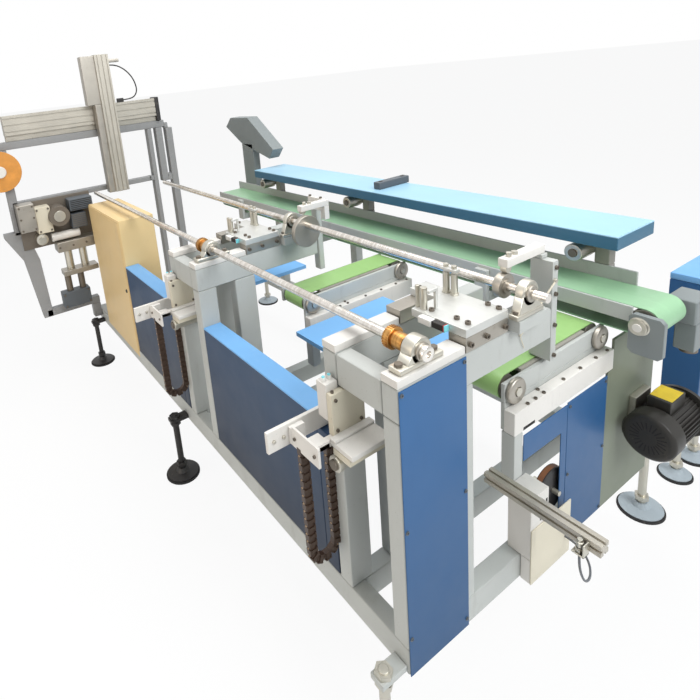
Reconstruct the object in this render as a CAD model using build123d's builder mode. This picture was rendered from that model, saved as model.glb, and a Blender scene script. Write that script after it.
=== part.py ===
from build123d import *
import math
import os

os.makedirs("parts", exist_ok=True)

# Machine frame, in mm. x runs along the line: 0 is the near end face and the
# strapping head is at the far end, at negative x. y runs from the operator's
# side to the long belt. z is measured from the underside of the welded base.
# Everything is moved at the end, so that the origin is bottom centre.

# base and portals
base_len = 2760.0
base_wid = 1180.0
base_h = 82.0
beam_w = 51.0
pad_drop = 270.0
slot_y0 = 78.0
slot_y1 = 160.0
leg_y1 = 252.0
beam_z0 = 724.0
beam_z1 = 812.0
beam_end = 575.0
cap_t = 21.0
portal_gap = 154.0
station = 1005.0
panel_t = 3.0
panel_y1 = 223.0
fit = 1.0

# deck plates, shafts and cams
deck_x = 165.0
deck_y0 = 226.0
deck_y1 = 385.0
deck_t = 22.0
spacer_t = 39.0
shaft_d = 25.0
guide_y = 87.0
axis_above_cap = 36.5
guide_x1 = 11.0
guide_end = 120.0
cam_y = 440.0
cam_z = 905.0
cam_end = 420.0
cam_x1 = 68.0
seat_h = 33.0
disc_r = 63.0
disc_t = 22.0
disc_drop = 25.0
disc_x = -894.0
collar_r = 33.0
collar_x = -51.0
collar_w = 22.0
gear_r = 27.0
gear_teeth = 22
follower_r = 12.0
bar_z0 = 955.0
bar_t = 23.0
bar_w = 28.0
near_bar_x = -50.0
mid_bar_x = -920.0
upright_t = 25.0
upright_z0 = 652.0
upright_h = 291.0

# conveyors
long_y0 = 880.0
belt_space = 160.0
long_top = 734.0
channel_h = 48.0
channel_t = 8.0
belt_t = 3.0
belt_gap = 1.0
drive_x = 88.0
drive_z = 690.0
drive_r = 41.0
axle_r = 12.0
tail_in = 320.0
rail_h = 44.0
bed_t = 29.0
cross_top = 649.0
cross_r = 34.0
cross_y0 = 409.0
cross_reach = 25.0
cross_x1 = -45.0
cross_w = 115.0
cross_step = 801.0
cross_early = 55.0
rail_z0 = 501.0
rail_z1 = 570.0

# cover and boxes over the long belt
cover_x0 = -2078.0
cover_x1 = -14.0
cover_in = 57.0
cover_w = 226.0
cover_z0 = 870.0
cover_h = 45.0
cover_posts_x = (-105.0, -1205.0, -1986.0)
cover_post_w = 46.0
drum_r = 29.0
cabinet_in = 230.0
cabinet_w = 590.0
cabinet_y = 195.0
cabinet_z0 = 35.0
cabinet_z1 = 828.0
door_t = 18.0

# strapping head and its gantry
gantry_in = 60.0
gantry_w = 50.0
column_y = 205.0
column_w = 85.0
profile_slot = 8.0

# drag chains and leads
link_pitch = 24.0
link_h = 17.0
link_w = 26.0
link_plate = 3.5
chain_r = 41.0
chain_low = 236.0
lead_d = 6.0
gantry_lead_d = 8.0

long_y1 = long_y0 + belt_space
rail_top = long_top + rail_h
guide_z = beam_z1 + cap_t + axis_above_cap
cap_z = beam_z1 + cap_t
deck_top = beam_z1 + spacer_t + deck_t
cross_y1 = long_y0 + cross_reach
cross_x0 = cross_x1 - cross_w
tail_x = -(base_len - tail_in)
bar_z1 = bar_z0 + bar_t
plate_y1 = beam_end + upright_t
back_x = beam_w + portal_gap
cabinet_x0 = -(base_len - cabinet_in)
cabinet_x1 = cabinet_x0 + cabinet_w
gx = -(base_len - gantry_in)
gw = gantry_w / 2

pieces = []


def keep(made, name):
    made.part.label = name
    pieces.append((name, made.part))


def block(x0, x1, y0, y1, z0, z1, mode=Mode.ADD):
    with Locations(((x0 + x1) / 2, (y0 + y1) / 2, (z0 + z1) / 2)):
        Box(x1 - x0, y1 - y0, z1 - z0, mode=mode)


def rod_x(x0, x1, y, z, r, mode=Mode.ADD):
    with Locations(Location(((x0 + x1) / 2, y, z), (0, 90, 0))):
        Cylinder(r, x1 - x0, mode=mode)


def rod_y(y0, y1, x, z, r, mode=Mode.ADD):
    with Locations(Location((x, (y0 + y1) / 2, z), (90, 0, 0))):
        Cylinder(r, y1 - y0, mode=mode)


def rod_z(z0, z1, x, y, r, mode=Mode.ADD):
    with Locations((x, y, (z0 + z1) / 2)):
        Cylinder(r, z1 - z0, mode=mode)


def hex_z(z0, z1, x, y, across):
    with BuildSketch(Plane.XY.offset(z0)) as outline:
        with Locations((x, y)):
            RegularPolygon(across / 2, 6, major_radius=False)
    extrude(outline.sketch, amount=z1 - z0)


def sheet_x(points, x0, x1, mode=Mode.ADD):
    with BuildSketch(Plane.YZ.offset(x0)) as outline:
        Polygon(*points, align=None)
    extrude(outline.sketch, amount=x1 - x0, mode=mode)


def sheet_y(points, y0, y1, mode=Mode.ADD):
    with BuildSketch(Plane.XZ.offset(-y0)) as outline:
        Polygon(*points, align=None)
    extrude(outline.sketch, amount=-(y1 - y0), mode=mode)


def slot_x(x0, x1, y, z, length, width, turn=0.0):
    with BuildSketch(Plane.YZ.offset(x0)) as outline:
        with Locations((y, z)):
            SlotOverall(length, width, rotation=turn)
    extrude(outline.sketch, amount=x1 - x0, mode=Mode.SUBTRACT)


# base frame: side beams, cross beams and the beam that carries the right cabinet
cross_beams = (0.0, -back_x, -station, -station - back_x, -base_len + beam_w)
side_gap = 333.0
side_box_y0 = base_wid + side_gap
link_x = -80.0
with BuildPart() as base_frame:
    block(-base_len, 0, 0, beam_w, 0, base_h)
    block(-base_len, 0, base_wid - beam_w, base_wid, 0, base_h)
    for x in cross_beams:
        block(x - beam_w, x, beam_w, base_wid - beam_w, 0, base_h)
    block(link_x - 24, link_x + 24, base_wid, side_box_y0, 0, base_h)
keep(base_frame, "base_frame")


def portals(face):
    for x in (face, face - back_x):
        block(x - beam_w, x, 0, slot_y0, base_h, beam_z0)
        block(x - beam_w, x, slot_y1, leg_y1, base_h, beam_z0)
        block(x - beam_w, x, 0, beam_end, beam_z0, beam_z1)
        block(x - beam_w, x, 0, panel_y1, beam_z1, cap_z)
    block(face - back_x, face - beam_w, 0, beam_w, beam_z0, beam_z1)


with BuildPart() as near_portals:
    portals(0)
keep(near_portals, "near_portals")
with BuildPart() as mid_portals:
    portals(-station)
keep(mid_portals, "mid_portals")

narrow_y0 = 320.0
with BuildPart() as deck_plates:
    for face in (0.0, -station):
        far = face - back_x - beam_w
        block(face - beam_w, face, deck_y0, deck_y1, beam_z1, beam_z1 + spacer_t)
        block(far, far + beam_w, deck_y0, deck_y1, beam_z1, beam_z1 + spacer_t)
        block(face - deck_x, face, deck_y0, deck_y1, beam_z1 + spacer_t, deck_top)
        block(far, face - deck_x, narrow_y0, deck_y1, beam_z1 + spacer_t, deck_top)
keep(deck_plates, "deck_plates")

# shafts, each with its collars, and the eccentric disc
with BuildPart() as guide_shaft:
    rod_x(-(base_len - guide_end), guide_x1, guide_y, guide_z, shaft_d / 2)
    chamfer(guide_shaft.faces().sort_by(Axis.X)[-1].edges(), 2)
keep(guide_shaft, "guide_shaft")
with BuildPart() as cam_shaft:
    rod_x(-(base_len - cam_end), cam_x1, cam_y, cam_z, shaft_d / 2)
    chamfer(cam_shaft.faces().sort_by(Axis.X)[-1].edges(), 2)
    rod_x(disc_x - disc_t / 2, disc_x + disc_t / 2, cam_y, cam_z - disc_drop, disc_r)
    rod_x(disc_x - disc_t, disc_x + disc_t, cam_y, cam_z, shaft_d)
    rod_x(collar_x - collar_w / 2, collar_x + collar_w / 2, cam_y, cam_z, collar_r)
    rod_x(collar_x - collar_w * 0.7, collar_x + collar_w * 0.7, cam_y, cam_z, collar_r * 0.65)
keep(cam_shaft, "cam_shaft")


def pillow(x, y, z_base, z_axis, half, reach, shell=33.0, foot=15.0):
    """A pillow block: flanged foot, rounded body, bearing insert and bore."""
    with BuildSketch(Plane.YZ.offset(x - half)) as foot_side:
        with Locations((y, z_base + foot / 2)):
            RectangleRounded(2 * reach, foot, foot * 0.3)
    extrude(foot_side.sketch, amount=2 * half)
    with BuildSketch(Plane.YZ.offset(x - half + 2)) as body:
        with Locations((y, z_axis)):
            Circle(shell)
        with Locations((y, z_base + foot)):
            Trapezoid(2 * shell + 26, z_axis - z_base - foot, 72, align=(Align.CENTER, Align.MIN))
    extrude(body.sketch, amount=2 * half - 4)
    rod_x(x - half - 4, x + half + 4, y, z_axis, shell * 0.66)
    for side in (-1, 1):
        hex_z(z_base + foot, z_base + foot + 7, x, y + side * (reach - 12), 16)
    rod_x(x - half - 10, x + half + 10, y, z_axis, shaft_d / 2, Mode.SUBTRACT)


with BuildPart() as shaft_bearings:
    for face in (0.0, -station):
        pillow(face - beam_w / 2, guide_y, cap_z, guide_z, 19, 70)
        x = face + 12
        block(x - 52, x + 16, cam_y - 50, cam_y + 70, beam_z1, beam_z1 + seat_h)
        pillow(x, cam_y, beam_z1 + seat_h, cam_z, 14, 54, 31)
keep(shaft_bearings, "shaft_bearings")

near_end_y = plate_y1 - 2
mid_end_y = plate_y1 - 28
with BuildPart() as top_bars:
    for x, low, end in ((near_bar_x, cam_z + collar_r, near_end_y),
                        (mid_bar_x, cam_z - disc_drop + disc_r, mid_end_y)):
        block(x - bar_w / 2, x + bar_w / 2, cam_y - 5, end, bar_z0, bar_z1)
        rod_z(low + follower_r, bar_z0, x, cam_y + 8, 9)
        rod_x(x - 8, x + 8, cam_y + 8, low + follower_r, follower_r)
    x = mid_bar_x - bar_w / 2
    block(x, x + bar_w, mid_end_y - 24, mid_end_y, bar_z0 - 57, bar_z0)
    block(x - 96, x, mid_end_y - 12, mid_end_y, bar_z0 - 30, bar_z1)
keep(top_bars, "top_bars")

with BuildPart() as uprights:
    block(-63, 0, beam_end, plate_y1, upright_z0, upright_z0 + upright_h)
    block(-60, -30, beam_end, plate_y1, upright_z0 + upright_h, bar_z0)
    block(-station - 30, -station + 8, beam_end, plate_y1, upright_z0, upright_z0 + upright_h + 20)
keep(uprights, "uprights")

with BuildPart() as shaft_gears:
    for x in (-78.0, -station - 78.0):
        with BuildSketch(Plane.YZ.offset(x - gear_r)) as rim:
            with Locations((guide_y, guide_z)):
                Circle(gear_r - 3)
                with PolarLocations(gear_r - 3, gear_teeth):
                    Trapezoid(3.0, 4.6, 74, rotation=-90)
        extrude(rim.sketch, amount=20)
        rod_x(x - 7, x + gear_r, guide_y, guide_z, gear_r * 0.78)
        rod_x(x - 30, x + 30, guide_y, guide_z, shaft_d / 2, Mode.SUBTRACT)
keep(shaft_gears, "shaft_gears")

post_h = 66.0
with BuildPart() as stop_posts:
    for face in (0.0, -station):
        for x, y in ((-140.0, deck_y0 + 19), (-168.0, deck_y1 - 20), (-142.0, deck_y1 - 20)):
            rod_z(deck_top, deck_top + post_h, face + x, y, 9)
            hex_z(deck_top, deck_top + 6, face + x, y, 22)
        block(face - 180, face - 130, deck_y1 - 30, deck_y1 - 10, deck_top + post_h, deck_top + post_h + 8)
        sheet_x([(deck_y0 + 36, deck_top), (deck_y0 + 44, deck_top), (deck_y0 + 44, deck_top + 58),
                 (deck_y0 + 12, deck_top + 58), (deck_y0 + 12, deck_top + 50),
                 (deck_y0 + 36, deck_top + 50)], face - 124, face - 116)
keep(stop_posts, "stop_posts")


def push_unit(d):
    """The slide of one push unit, its cylinder tube, its body and the long side plate."""
    block(d - 182, d - 100, -54, slot_y0 - fit, 592, 606)
    block(d - 182, d - 160, -54, slot_y0 - fit, 606, 614)
    block(d - 172, d - 110, -54, slot_y0 - fit, 572, 592)
    rod_y(-58, slot_y0 - fit, d - 165, 548, 22)
    rod_y(-64, -58, d - 165, 548, 14)
    block(d - 182, d - 148, 40, 70, 560, 575)
    block(d - 202, d - 182, -40, 66, 606, 722)
    block(d - 240, d - 202, -40, -fit, 640, 742)
    block(d - 276, d - 166, -104, -96, 556, 613)
    block(d - 230, d - 182, -96, -54, 585, 600)
    block(d - 200, d - 182, -96, 60, 585, 606)
    block(d - 304, d - 292, -169, 76, 550, 613)
    block(d - 292, d - 276, -104, -60, 556, 606)
    for y in (-150.0, -120.0):
        rod_x(d - 310, d - 286, y, 582, 5)


with BuildPart() as near_push_unit:
    push_unit(0)
keep(near_push_unit, "near_push_unit")
with BuildPart() as mid_push_unit:
    push_unit(-station)
keep(mid_push_unit, "mid_push_unit")


def chain_places(y0, y1, z_top, z_low, pitch):
    """Places and tangent angles of the links: down one leg, round the bend and up."""
    r = (y1 - y0) / 2
    down = z_top - z_low
    bend = math.pi * r
    count = int((2 * down + bend) / pitch)
    found = []
    for k in range(count):
        s = (k + 0.5) * pitch
        if s < down:
            found.append((y0, z_top - s, -90.0))
        elif s < down + bend:
            a = (s - down) / r
            found.append(((y0 + y1) / 2 - r * math.cos(a), z_low - r * math.sin(a),
                          -90.0 + math.degrees(a)))
        else:
            found.append((y1, z_low + s - down - bend, 90.0))
    return found


def link_shape(w):
    """The side view of one link plate, long enough to share a pin with the next link."""
    return Polygon((-w * 0.72, -link_h * 0.28), (-w * 0.5, -link_h / 2), (w * 0.42, -link_h / 2),
                   (w * 0.72, -link_h * 0.2), (w * 0.72, link_h * 0.2), (w * 0.42, link_h / 2),
                   (-w * 0.5, link_h / 2), (-w * 0.72, link_h * 0.28), align=None)


def chain_link(inset):
    """One link across the chain's width: two side plates and two cross bars."""
    with BuildPart() as made:
        for x in (inset, link_w - inset - link_plate):
            with BuildSketch(Plane.YZ.offset(x)) as side:
                link_shape(link_pitch)
            extrude(side.sketch, amount=link_plate)
        for z in (-link_h * 0.38, link_h * 0.38):
            with Locations((link_w / 2, 0, z)):
                Box(link_w - 2 * inset - 2 * link_plate, link_pitch * 0.36, 2.4)
    return made.part


links = (chain_link(0.0), chain_link(link_plate))
with BuildPart() as drag_chains:
    chain = []
    for face in (0.0, -station):
        for k, (y, z, turn) in enumerate(chain_places(-92, -92 + 2 * chain_r, 546, chain_low, link_pitch)):
            chain.append(links[k % 2].moved(Location((face - 262, y, z), (turn, 0, 0))))
    add(chain)
keep(drag_chains, "drag_chains")

# guards: closed folded boxes with a step where the chain hangs
guard_y1 = 74.0
guard_z1 = 578.0
step_z1 = 546.0
with BuildPart() as near_side_guard:
    block(-station + fit, -312, fit, guard_y1, base_h, guard_z1)
    block(-312, -260, fit, guard_y1, base_h, step_z1)
keep(near_side_guard, "near_side_guard")
with BuildPart() as mid_side_guard:
    block(cabinet_x1 + fit, -station - 312, fit, guard_y1, base_h, guard_z1)
    block(-station - 312, -station - 262, fit, guard_y1, base_h, step_z1)
keep(mid_side_guard, "mid_side_guard")

with BuildPart() as cabinet:
    block(cabinet_x0, cabinet_x1, 0, cabinet_y, base_h, cabinet_z1)
    block(cabinet_x0, cabinet_x1, -3, 0, cabinet_z0, cabinet_z1)
    with BuildSketch(Plane.XZ.offset(3)) as seam:
        with Locations(((cabinet_x0 + cabinet_x1) / 2, (cabinet_z0 + cabinet_z1) / 2)):
            Rectangle(cabinet_w - 2 * door_t, cabinet_z1 - cabinet_z0 - 2 * door_t)
            Rectangle(cabinet_w - 2 * door_t - 4, cabinet_z1 - cabinet_z0 - 2 * door_t - 4,
                      mode=Mode.SUBTRACT)
    extrude(seam.sketch, amount=-1.5, mode=Mode.SUBTRACT)
keep(cabinet, "cabinet")


def foot(x, y, top, pad_r, lug_y0=None, lug_y1=None):
    """A levelling foot: coned pad, threaded rod, nuts and the lug it hangs from."""
    low = -pad_drop
    with BuildSketch(Plane.XZ) as half:
        Polygon((0, low), (pad_r, low), (pad_r, low + 8), (pad_r - 8, low + 14), (28, low + 22),
                (22, low + 36), (0, low + 36), align=None)
    pad = revolve(half.sketch, Axis.Z, mode=Mode.PRIVATE)
    add(pad.moved(Location((x, y, 0))))
    rod_z(low + 30, top, x, y, 14)
    hex_z(low + 46, low + 64, x, y, 42)
    if lug_y0 is not None:
        block(x - 21, x + 21, lug_y0, lug_y1, 10, 28)
        hex_z(28, 40, x, y, 42)
        hex_z(-4, 10, x, y, 42)


foot_x = (-30.0, -station - 330, -(base_len - 110))
foot_out = 60.0
with BuildPart() as levelling_feet:
    for x in foot_x:
        foot(x, -foot_out, 44, 78, -foot_out - 25, 0)
        foot(x, base_wid + foot_out + 36, 44, 78, base_wid, base_wid + foot_out + 50)
    for y in (side_box_y0 + 47, side_box_y0 + 207):
        foot(-30, y, 0, 60)
keep(levelling_feet, "levelling_feet")


leg_x = (-400.0, -1400.0, -2150.0)
stay_z0 = 600.0
stay_h = 40.0
with BuildPart() as long_conveyor_frame:
    block(tail_x - 40, drive_x - 28, long_y0, long_y0 + channel_t, long_top - channel_h, long_top)
    block(tail_x - 40, 0, long_y1, long_y1 + channel_t, long_top - channel_h, rail_top)
    block(tail_x + 80, drive_x - 60, long_y0 + channel_t, long_y1, long_top - belt_t - 2 - bed_t,
          long_top - belt_t - 2)
    rod_y(long_y0 - 2, long_y1 + 30, tail_x, drive_z, axle_r + 0.5, Mode.SUBTRACT)
    for x in leg_x:
        block(x - 50, x, base_wid - 50, base_wid - fit, base_h, stay_z0 + stay_h)
        block(x - 50, x, long_y0, base_wid - 50, stay_z0, stay_z0 + stay_h)
        block(x - 50, x, long_y1 + channel_t, long_y1 + channel_t + 30, stay_z0 + stay_h, long_top)
        block(x - 50, x, long_y0 - 20, long_y0, stay_z0, long_top - 10)
        sheet_x([(base_wid - 50, stay_z0), (base_wid - 50, stay_z0 - 70), (base_wid - 120, stay_z0)],
                x - 30, x - 20)
keep(long_conveyor_frame, "long_conveyor_frame")

with BuildPart() as long_belt:
    with BuildSketch(Plane.XZ.offset(-(long_y0 + channel_t + belt_gap))) as loop:
        for r, mode in ((drive_r + belt_t, Mode.ADD), (drive_r, Mode.SUBTRACT)):
            with Locations(((drive_x + tail_x) / 2, drive_z)):
                SlotCenterToCenter(drive_x - tail_x, 2 * r, mode=mode)
    extrude(loop.sketch, amount=-(belt_space - channel_t - 2 * belt_gap))
keep(long_belt, "long_belt")

with BuildPart() as belt_rollers:
    for x in (drive_x, tail_x):
        rod_y(long_y0 + channel_t + 2, long_y1 - 2, x, drive_z, drive_r - 0.5)
        rod_y(long_y0 - 18, long_y1 + 20, x, drive_z, axle_r)
keep(belt_rollers, "belt_rollers")

cover_y0 = long_y0 + cover_in
cover_y1 = cover_y0 + cover_w
cover_z1 = cover_z0 + cover_h
with BuildPart() as cover:
    block(cover_x0, cover_x1, cover_y0, cover_y1, cover_z0, cover_z1)
    fillet(cover.edges().filter_by(Axis.X).group_by(Axis.Z)[-1], 4)
keep(cover, "cover")
with BuildPart() as cover_posts:
    for x in cover_posts_x:
        w = cover_post_w / 2
        block(x - w, x + w, long_y1, long_y1 + 40, rail_top, cover_z0)
        block(x - w, x + w, long_y1 + channel_t, long_y1 + 40, long_top - 84, rail_top)
        rod_y(long_y1 - 80, long_y1, x - 50, rail_top + 48, drum_r)
        rod_y(long_y1 - 85, long_y1 - 80, x - 50, rail_top + 48, drum_r / 2)
        block(x - 50, x - w, long_y1 - 6, long_y1 + 8, rail_top + 34, rail_top + 62)
keep(cover_posts, "cover_posts")
switch_x = -1061.0
with BuildPart() as switch_box:
    block(switch_x - 21, switch_x + 20, cover_y0 + 46, cover_y1 + 14, cover_z1, cover_z1 + 33)
    fillet(switch_box.edges().filter_by(Axis.Z), 6)
    for y in (cover_y0 + 73, cover_y1 - 13):
        rod_z(cover_z1 + 33, cover_z1 + 35, switch_x, y, 10)
keep(switch_box, "switch_box")
box_y0 = long_y1 + channel_t
with BuildPart() as control_box:
    block(-2393, -2258, box_y0, box_y0 + 50, long_top - 84, 1050)
    sheet_y([(-2517, 1218), (-2287, 1222), (-2014, 1029), (-2070, 968), (-2403, 1051),
             (-2591, 1154)], box_y0, box_y0 + 80)
keep(control_box, "control_box")

# drive end
housing_z0 = drive_z - 89
with BuildPart() as drive_housing:
    with BuildSketch(Plane.XZ.offset(-(long_y0 - 20))) as cheek:
        with Locations(((drive_x + 17), (housing_z0 + 62))):
            RectangleRounded(90, 124, 12)
    extrude(cheek.sketch, amount=-18)
    rod_y(long_y0 - 32, long_y0 - 20, drive_x, drive_z, 24)
    rod_y(long_y0 - 34, long_y0 + 2, drive_x, drive_z, axle_r + 0.5, Mode.SUBTRACT)
keep(drive_housing, "drive_housing")
with BuildPart() as gearbox:
    block(drive_x - 18, drive_x + 62, long_y1 + 20, long_y1 + 120, drive_z - 50, drive_z + 28)
    fillet(gearbox.edges().filter_by(Axis.Y), 8)
    block(drive_x + 7, drive_x + 62, long_y1 + 30, long_y1 + 110, drive_z - 140, drive_z - 50)
    rod_z(drive_z - 156, drive_z - 140, drive_x + 34, long_y1 + 70, 24)
keep(gearbox, "gearbox")
motor_x = 100.0
motor_z = 288.0
motor_r = 76.0
motor_y0 = long_y0 + 63
fins = 28
with BuildPart() as motor:
    with BuildSketch(Plane.XY.offset(motor_z)) as half:
        with Locations((motor_x, motor_y0)):
            Polygon((0, 0), (58, 0), (70, 3), (motor_r, 10), (motor_r, 60), (64, 60), (64, 208),
                    (66, 208), (motor_r + 8, 212), (motor_r + 8, 225), (0, 225), align=None)
    revolve(half.sketch, Axis((motor_x, motor_y0, motor_z), (0, 1, 0)))
    with Locations(Location((motor_x, motor_y0 + 134, motor_z), (90, 0, 0))):
        with PolarLocations(66, fins):
            Box(13, 2.6, 148)
    block(motor_x - 36, motor_x + 28, motor_y0 + 66, motor_y0 + 166, motor_z + 40, motor_z + 104)
    block(motor_x - 92, motor_x - 70, motor_y0 + 80, motor_y0 + 180, motor_z - 68, motor_z + 68)
    block(motor_x - 92, motor_x, motor_y0 + 90, motor_y0 + 170, motor_z - 62, motor_z - 38)
keep(motor, "motor")
with BuildPart() as right_cabinet:
    block(link_x - 10, 31, side_box_y0 + fit, side_box_y0 + 247, 0, 616)
keep(right_cabinet, "right_cabinet")


def cross_conveyor(sh, y0):
    """Side plates with rounded ends, drums, bed and the pale rail beside the belt."""
    za = cross_top - belt_t - cross_r
    for x in (sh - 35, sh - 182):
        block(x, x + 12, y0, cross_y1, 585, 640)
    bed_top = cross_top - belt_t - 1
    block(sh - 170, sh - 35, y0 + 90, cross_y1 - 90, bed_top - 11, bed_top)
    for y in (y0 + cross_r + belt_t, cross_y1 - cross_r - belt_t):
        rod_x(sh - 170, sh - 35, y, za, axle_r)
        rod_x(sh + cross_x0 + 1, sh + cross_x1 - 1, y, za, cross_r - 0.5)
        rod_x(sh - 23, sh - 12, y, za, cross_r + 3)
        rod_x(sh - 12, sh - 6, y, za, cross_r * 0.7)
    block(sh - 23, sh + 9, y0 - 4, cross_y1, rail_z0, rail_z1)
    block(sh - 35, sh - 23, y0, cross_y1, rail_z0, 585)
    block(sh - 30, sh + 9, y0 - 4, y0 + 33, 365, rail_z0)
    slot_x(sh - 24, sh + 10, y0 + 60, rail_z0 + 8, 52, 9)


near_cross_y0 = cross_y0
mid_cross_y0 = cross_y0 - cross_early
with BuildPart() as near_cross_conveyor:
    cross_conveyor(0, near_cross_y0)
keep(near_cross_conveyor, "near_cross_conveyor")
with BuildPart() as mid_cross_conveyor:
    cross_conveyor(-cross_step, mid_cross_y0)
keep(mid_cross_conveyor, "mid_cross_conveyor")
with BuildPart() as cross_belts:
    for sh, y0 in ((0.0, near_cross_y0), (-cross_step, mid_cross_y0)):
        za = cross_top - belt_t - cross_r
        ya = y0 + cross_r + belt_t
        yb = cross_y1 - cross_r - belt_t
        with BuildSketch(Plane.YZ.offset(sh + cross_x0)) as loop:
            for r, mode in ((cross_r + belt_t, Mode.ADD), (cross_r, Mode.SUBTRACT)):
                with Locations(((ya + yb) / 2, za)):
                    SlotCenterToCenter(yb - ya, 2 * r, mode=mode)
        extrude(loop.sketch, amount=cross_w)
keep(cross_belts, "cross_belts")

tray_z = 560.0
tray_t = 3.0
tray_lip = 14.0
with BuildPart() as catch_trays:
    for x0, x1 in ((-760.0, -272.0), (-station - 700, -station - 275)):
        block(x0, x1, 260, 700, tray_z, tray_z + tray_t)
        block(x0, x1, 260, 260 + tray_t, tray_z - tray_lip, tray_z)
        block(x1 - tray_t, x1, 260 + tray_t, 700, tray_z - tray_lip, tray_z)
keep(catch_trays, "catch_trays")

# near end
with BuildPart() as end_panels:
    block(0, panel_t, fit, panel_y1, 1, beam_z1 - 4)
    rail_face = 9.0
    sheet_x([(442, 490), (651, 490), (651, 60), (622, 60), (622, 410), (442, 410)],
            rail_face, rail_face + panel_t)
    sheet_x([(653, 495), (long_y0 - 12, 495), (long_y0 - 12, 8), (653, 8)], rail_face,
            rail_face + panel_t)
keep(end_panels, "end_panels")
with BuildPart() as leg_sheet:
    sheet_x([(787, 0), (long_y0 - 1, 459), (long_y0 - 1, 499), (long_y0 + 27, 499),
             (long_y0 + 27, 600), (base_wid - fit, 600), (base_wid - fit, 0)], 0, 8)
keep(leg_sheet, "leg_sheet")
wheel_y = 612.0
wheel_z = 213.0
wheel_r = 70.0
with BuildPart() as drive_wheel:
    rod_x(-25, 0, wheel_y, wheel_z, wheel_r)
    rod_x(-8, 0, wheel_y, wheel_z, wheel_r - 12, Mode.SUBTRACT)
    rod_x(-60, 20, wheel_y, wheel_z, 8)
    rod_x(-25, 4, wheel_y, wheel_z, 18)
keep(drive_wheel, "drive_wheel")
with BuildPart() as tension_box:
    block(-40, 30, 453, 538, base_h, 289)
    block(fit, 30, 453, 538, 0, base_h)
    block(30, 34, 453, 649, 0, 185)
    slot_x(24, 36, 500, 232, 70, 7, 90)
    slot_x(24, 36, 527, 236, 40, 8, 90)
keep(tension_box, "tension_box")
arm_y0 = 415.0
arm_h = 32.0
with BuildPart() as profile_arm:
    with BuildSketch(Plane.YZ.offset(-90)) as section:
        with Locations((arm_y0 + 17.5, 306)):
            Rectangle(35, arm_h)
            for side in (-1, 1):
                with Locations((side * 15.5, 0)):
                    Rectangle(8, profile_slot, mode=Mode.SUBTRACT)
                with Locations((0, side * 14)):
                    Rectangle(profile_slot, 8, mode=Mode.SUBTRACT)
    extrude(section.sketch, amount=316)
    block(196, 200, arm_y0 - 26, arm_y0, 282, 318)
    block(170, 200, arm_y0 - 26, arm_y0, 282, 286)
    rod_z(286, 322, 184, arm_y0 - 13, 8)
keep(profile_arm, "profile_arm")


# strapping head
def slotted_profile(width, height, rows, cols):
    """The section of an extruded profile with slots on its faces."""
    Rectangle(width, height)
    for k in range(rows):
        v = (k + 0.5) * height / rows - height / 2
        for side in (-1, 1):
            with Locations((side * (width / 2 - 3), v)):
                Rectangle(6, profile_slot, mode=Mode.SUBTRACT)
    for k in range(cols):
        u = (k + 0.5) * width / cols - width / 2
        for side in (-1, 1):
            with Locations((u, side * (height / 2 - 3))):
                Rectangle(profile_slot, 6, mode=Mode.SUBTRACT)


with BuildPart() as gantry_frame:
    block(gx - gw, gx + gw, -420, 626, 1215, 1260)
    block(gx - gw, gx + gw, 500, 530, base_h, 1215)
    block(gx - gw, gx + gw, 560, 605, 850, 1215)
    block(gx - gw, gx + gw, 605, 632, 850, 895)
    block(gx - gw, gx + gw, 632, 678, base_h, 1205)
    block(gx - gw, gx + gw, 626, 650, 1205, 1240)
    block(gx - gw, gx + gw, -420, -370, 700, 1215)
    sheet_x([(-482, 720), (-482, 693), (-401, 530), (-357, 137), (-300, 137), (-312, 520),
             (-360, 720)], gx - gw, gx + gw)
    block(gx - gw, gx + gw, -335, -fit, 137, 182)
    block(gx - gw, gx + gw, -330, 480, 870, 900)
    block(gx - gw, gx + gw, -372, -312, 640, 720)
    block(gx - gw, gx + gw, -400, -330, 720, 900)
    block(gx - gw, gx + gw, 470, 500, 870, 900)
    block(gx - gw, gx + gw, -51, -fit, base_h - 40, 137)
keep(gantry_frame, "gantry_frame")
axis_y0 = -360.0
axis_y1 = 576.0
with BuildPart() as gantry_axis:
    with BuildSketch(Plane.XZ.offset(-axis_y0)) as section:
        with Locations((gx, 1351.5)):
            slotted_profile(80, 113, 3, 2)
    extrude(section.sketch, amount=-(axis_y1 - axis_y0))
    block(gx - 20, gx + 20, axis_y0, axis_y1, 1260, 1298)
    block(gx - 40, gx + 42, axis_y1, axis_y1 + 28, 1262, 1415)
    block(gx + 12, gx + 38, 332, 372, 1405, 1434)
keep(gantry_axis, "gantry_axis")
with BuildPart() as gantry_column:
    with BuildSketch(Plane.XY.offset(860)) as section:
        with Locations((gx + 82, column_y + column_w / 2)):
            slotted_profile(80, column_w, 3, 2)
    extrude(section.sketch, amount=845)
    block(gx + 50, gx + 110, column_y - 83, column_y + 3, 1412, 1700)
    block(gx + 50, gx + 110, column_y - 40, column_y + 3, 860, 1412)
    block(gx + 60, gx + 100, column_y + column_w - 8, column_y + column_w + 70, 1655, 1675)
keep(gantry_column, "gantry_column")
reel_y = -433.0
reel_z = 1100.0
reel_r = 118.0
with BuildPart() as tape_reel:
    rod_x(gx + 40, gx + 48, reel_y, reel_z, reel_r)
    rod_x(gx + 48, gx + 67, reel_y, reel_z, reel_r - 26)
    rod_x(gx + 67, gx + 75, reel_y, reel_z, reel_r)
    rod_x(gx + 30, gx + 90, reel_y, reel_z, 34)
    rod_x(gx + gw, gx + 40, reel_y, reel_z, 12)
    block(gx + gw, gx + gw + 10, reel_y - 17, -380, reel_z - 10, reel_z + 10)
keep(tape_reel, "tape_reel")
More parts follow.
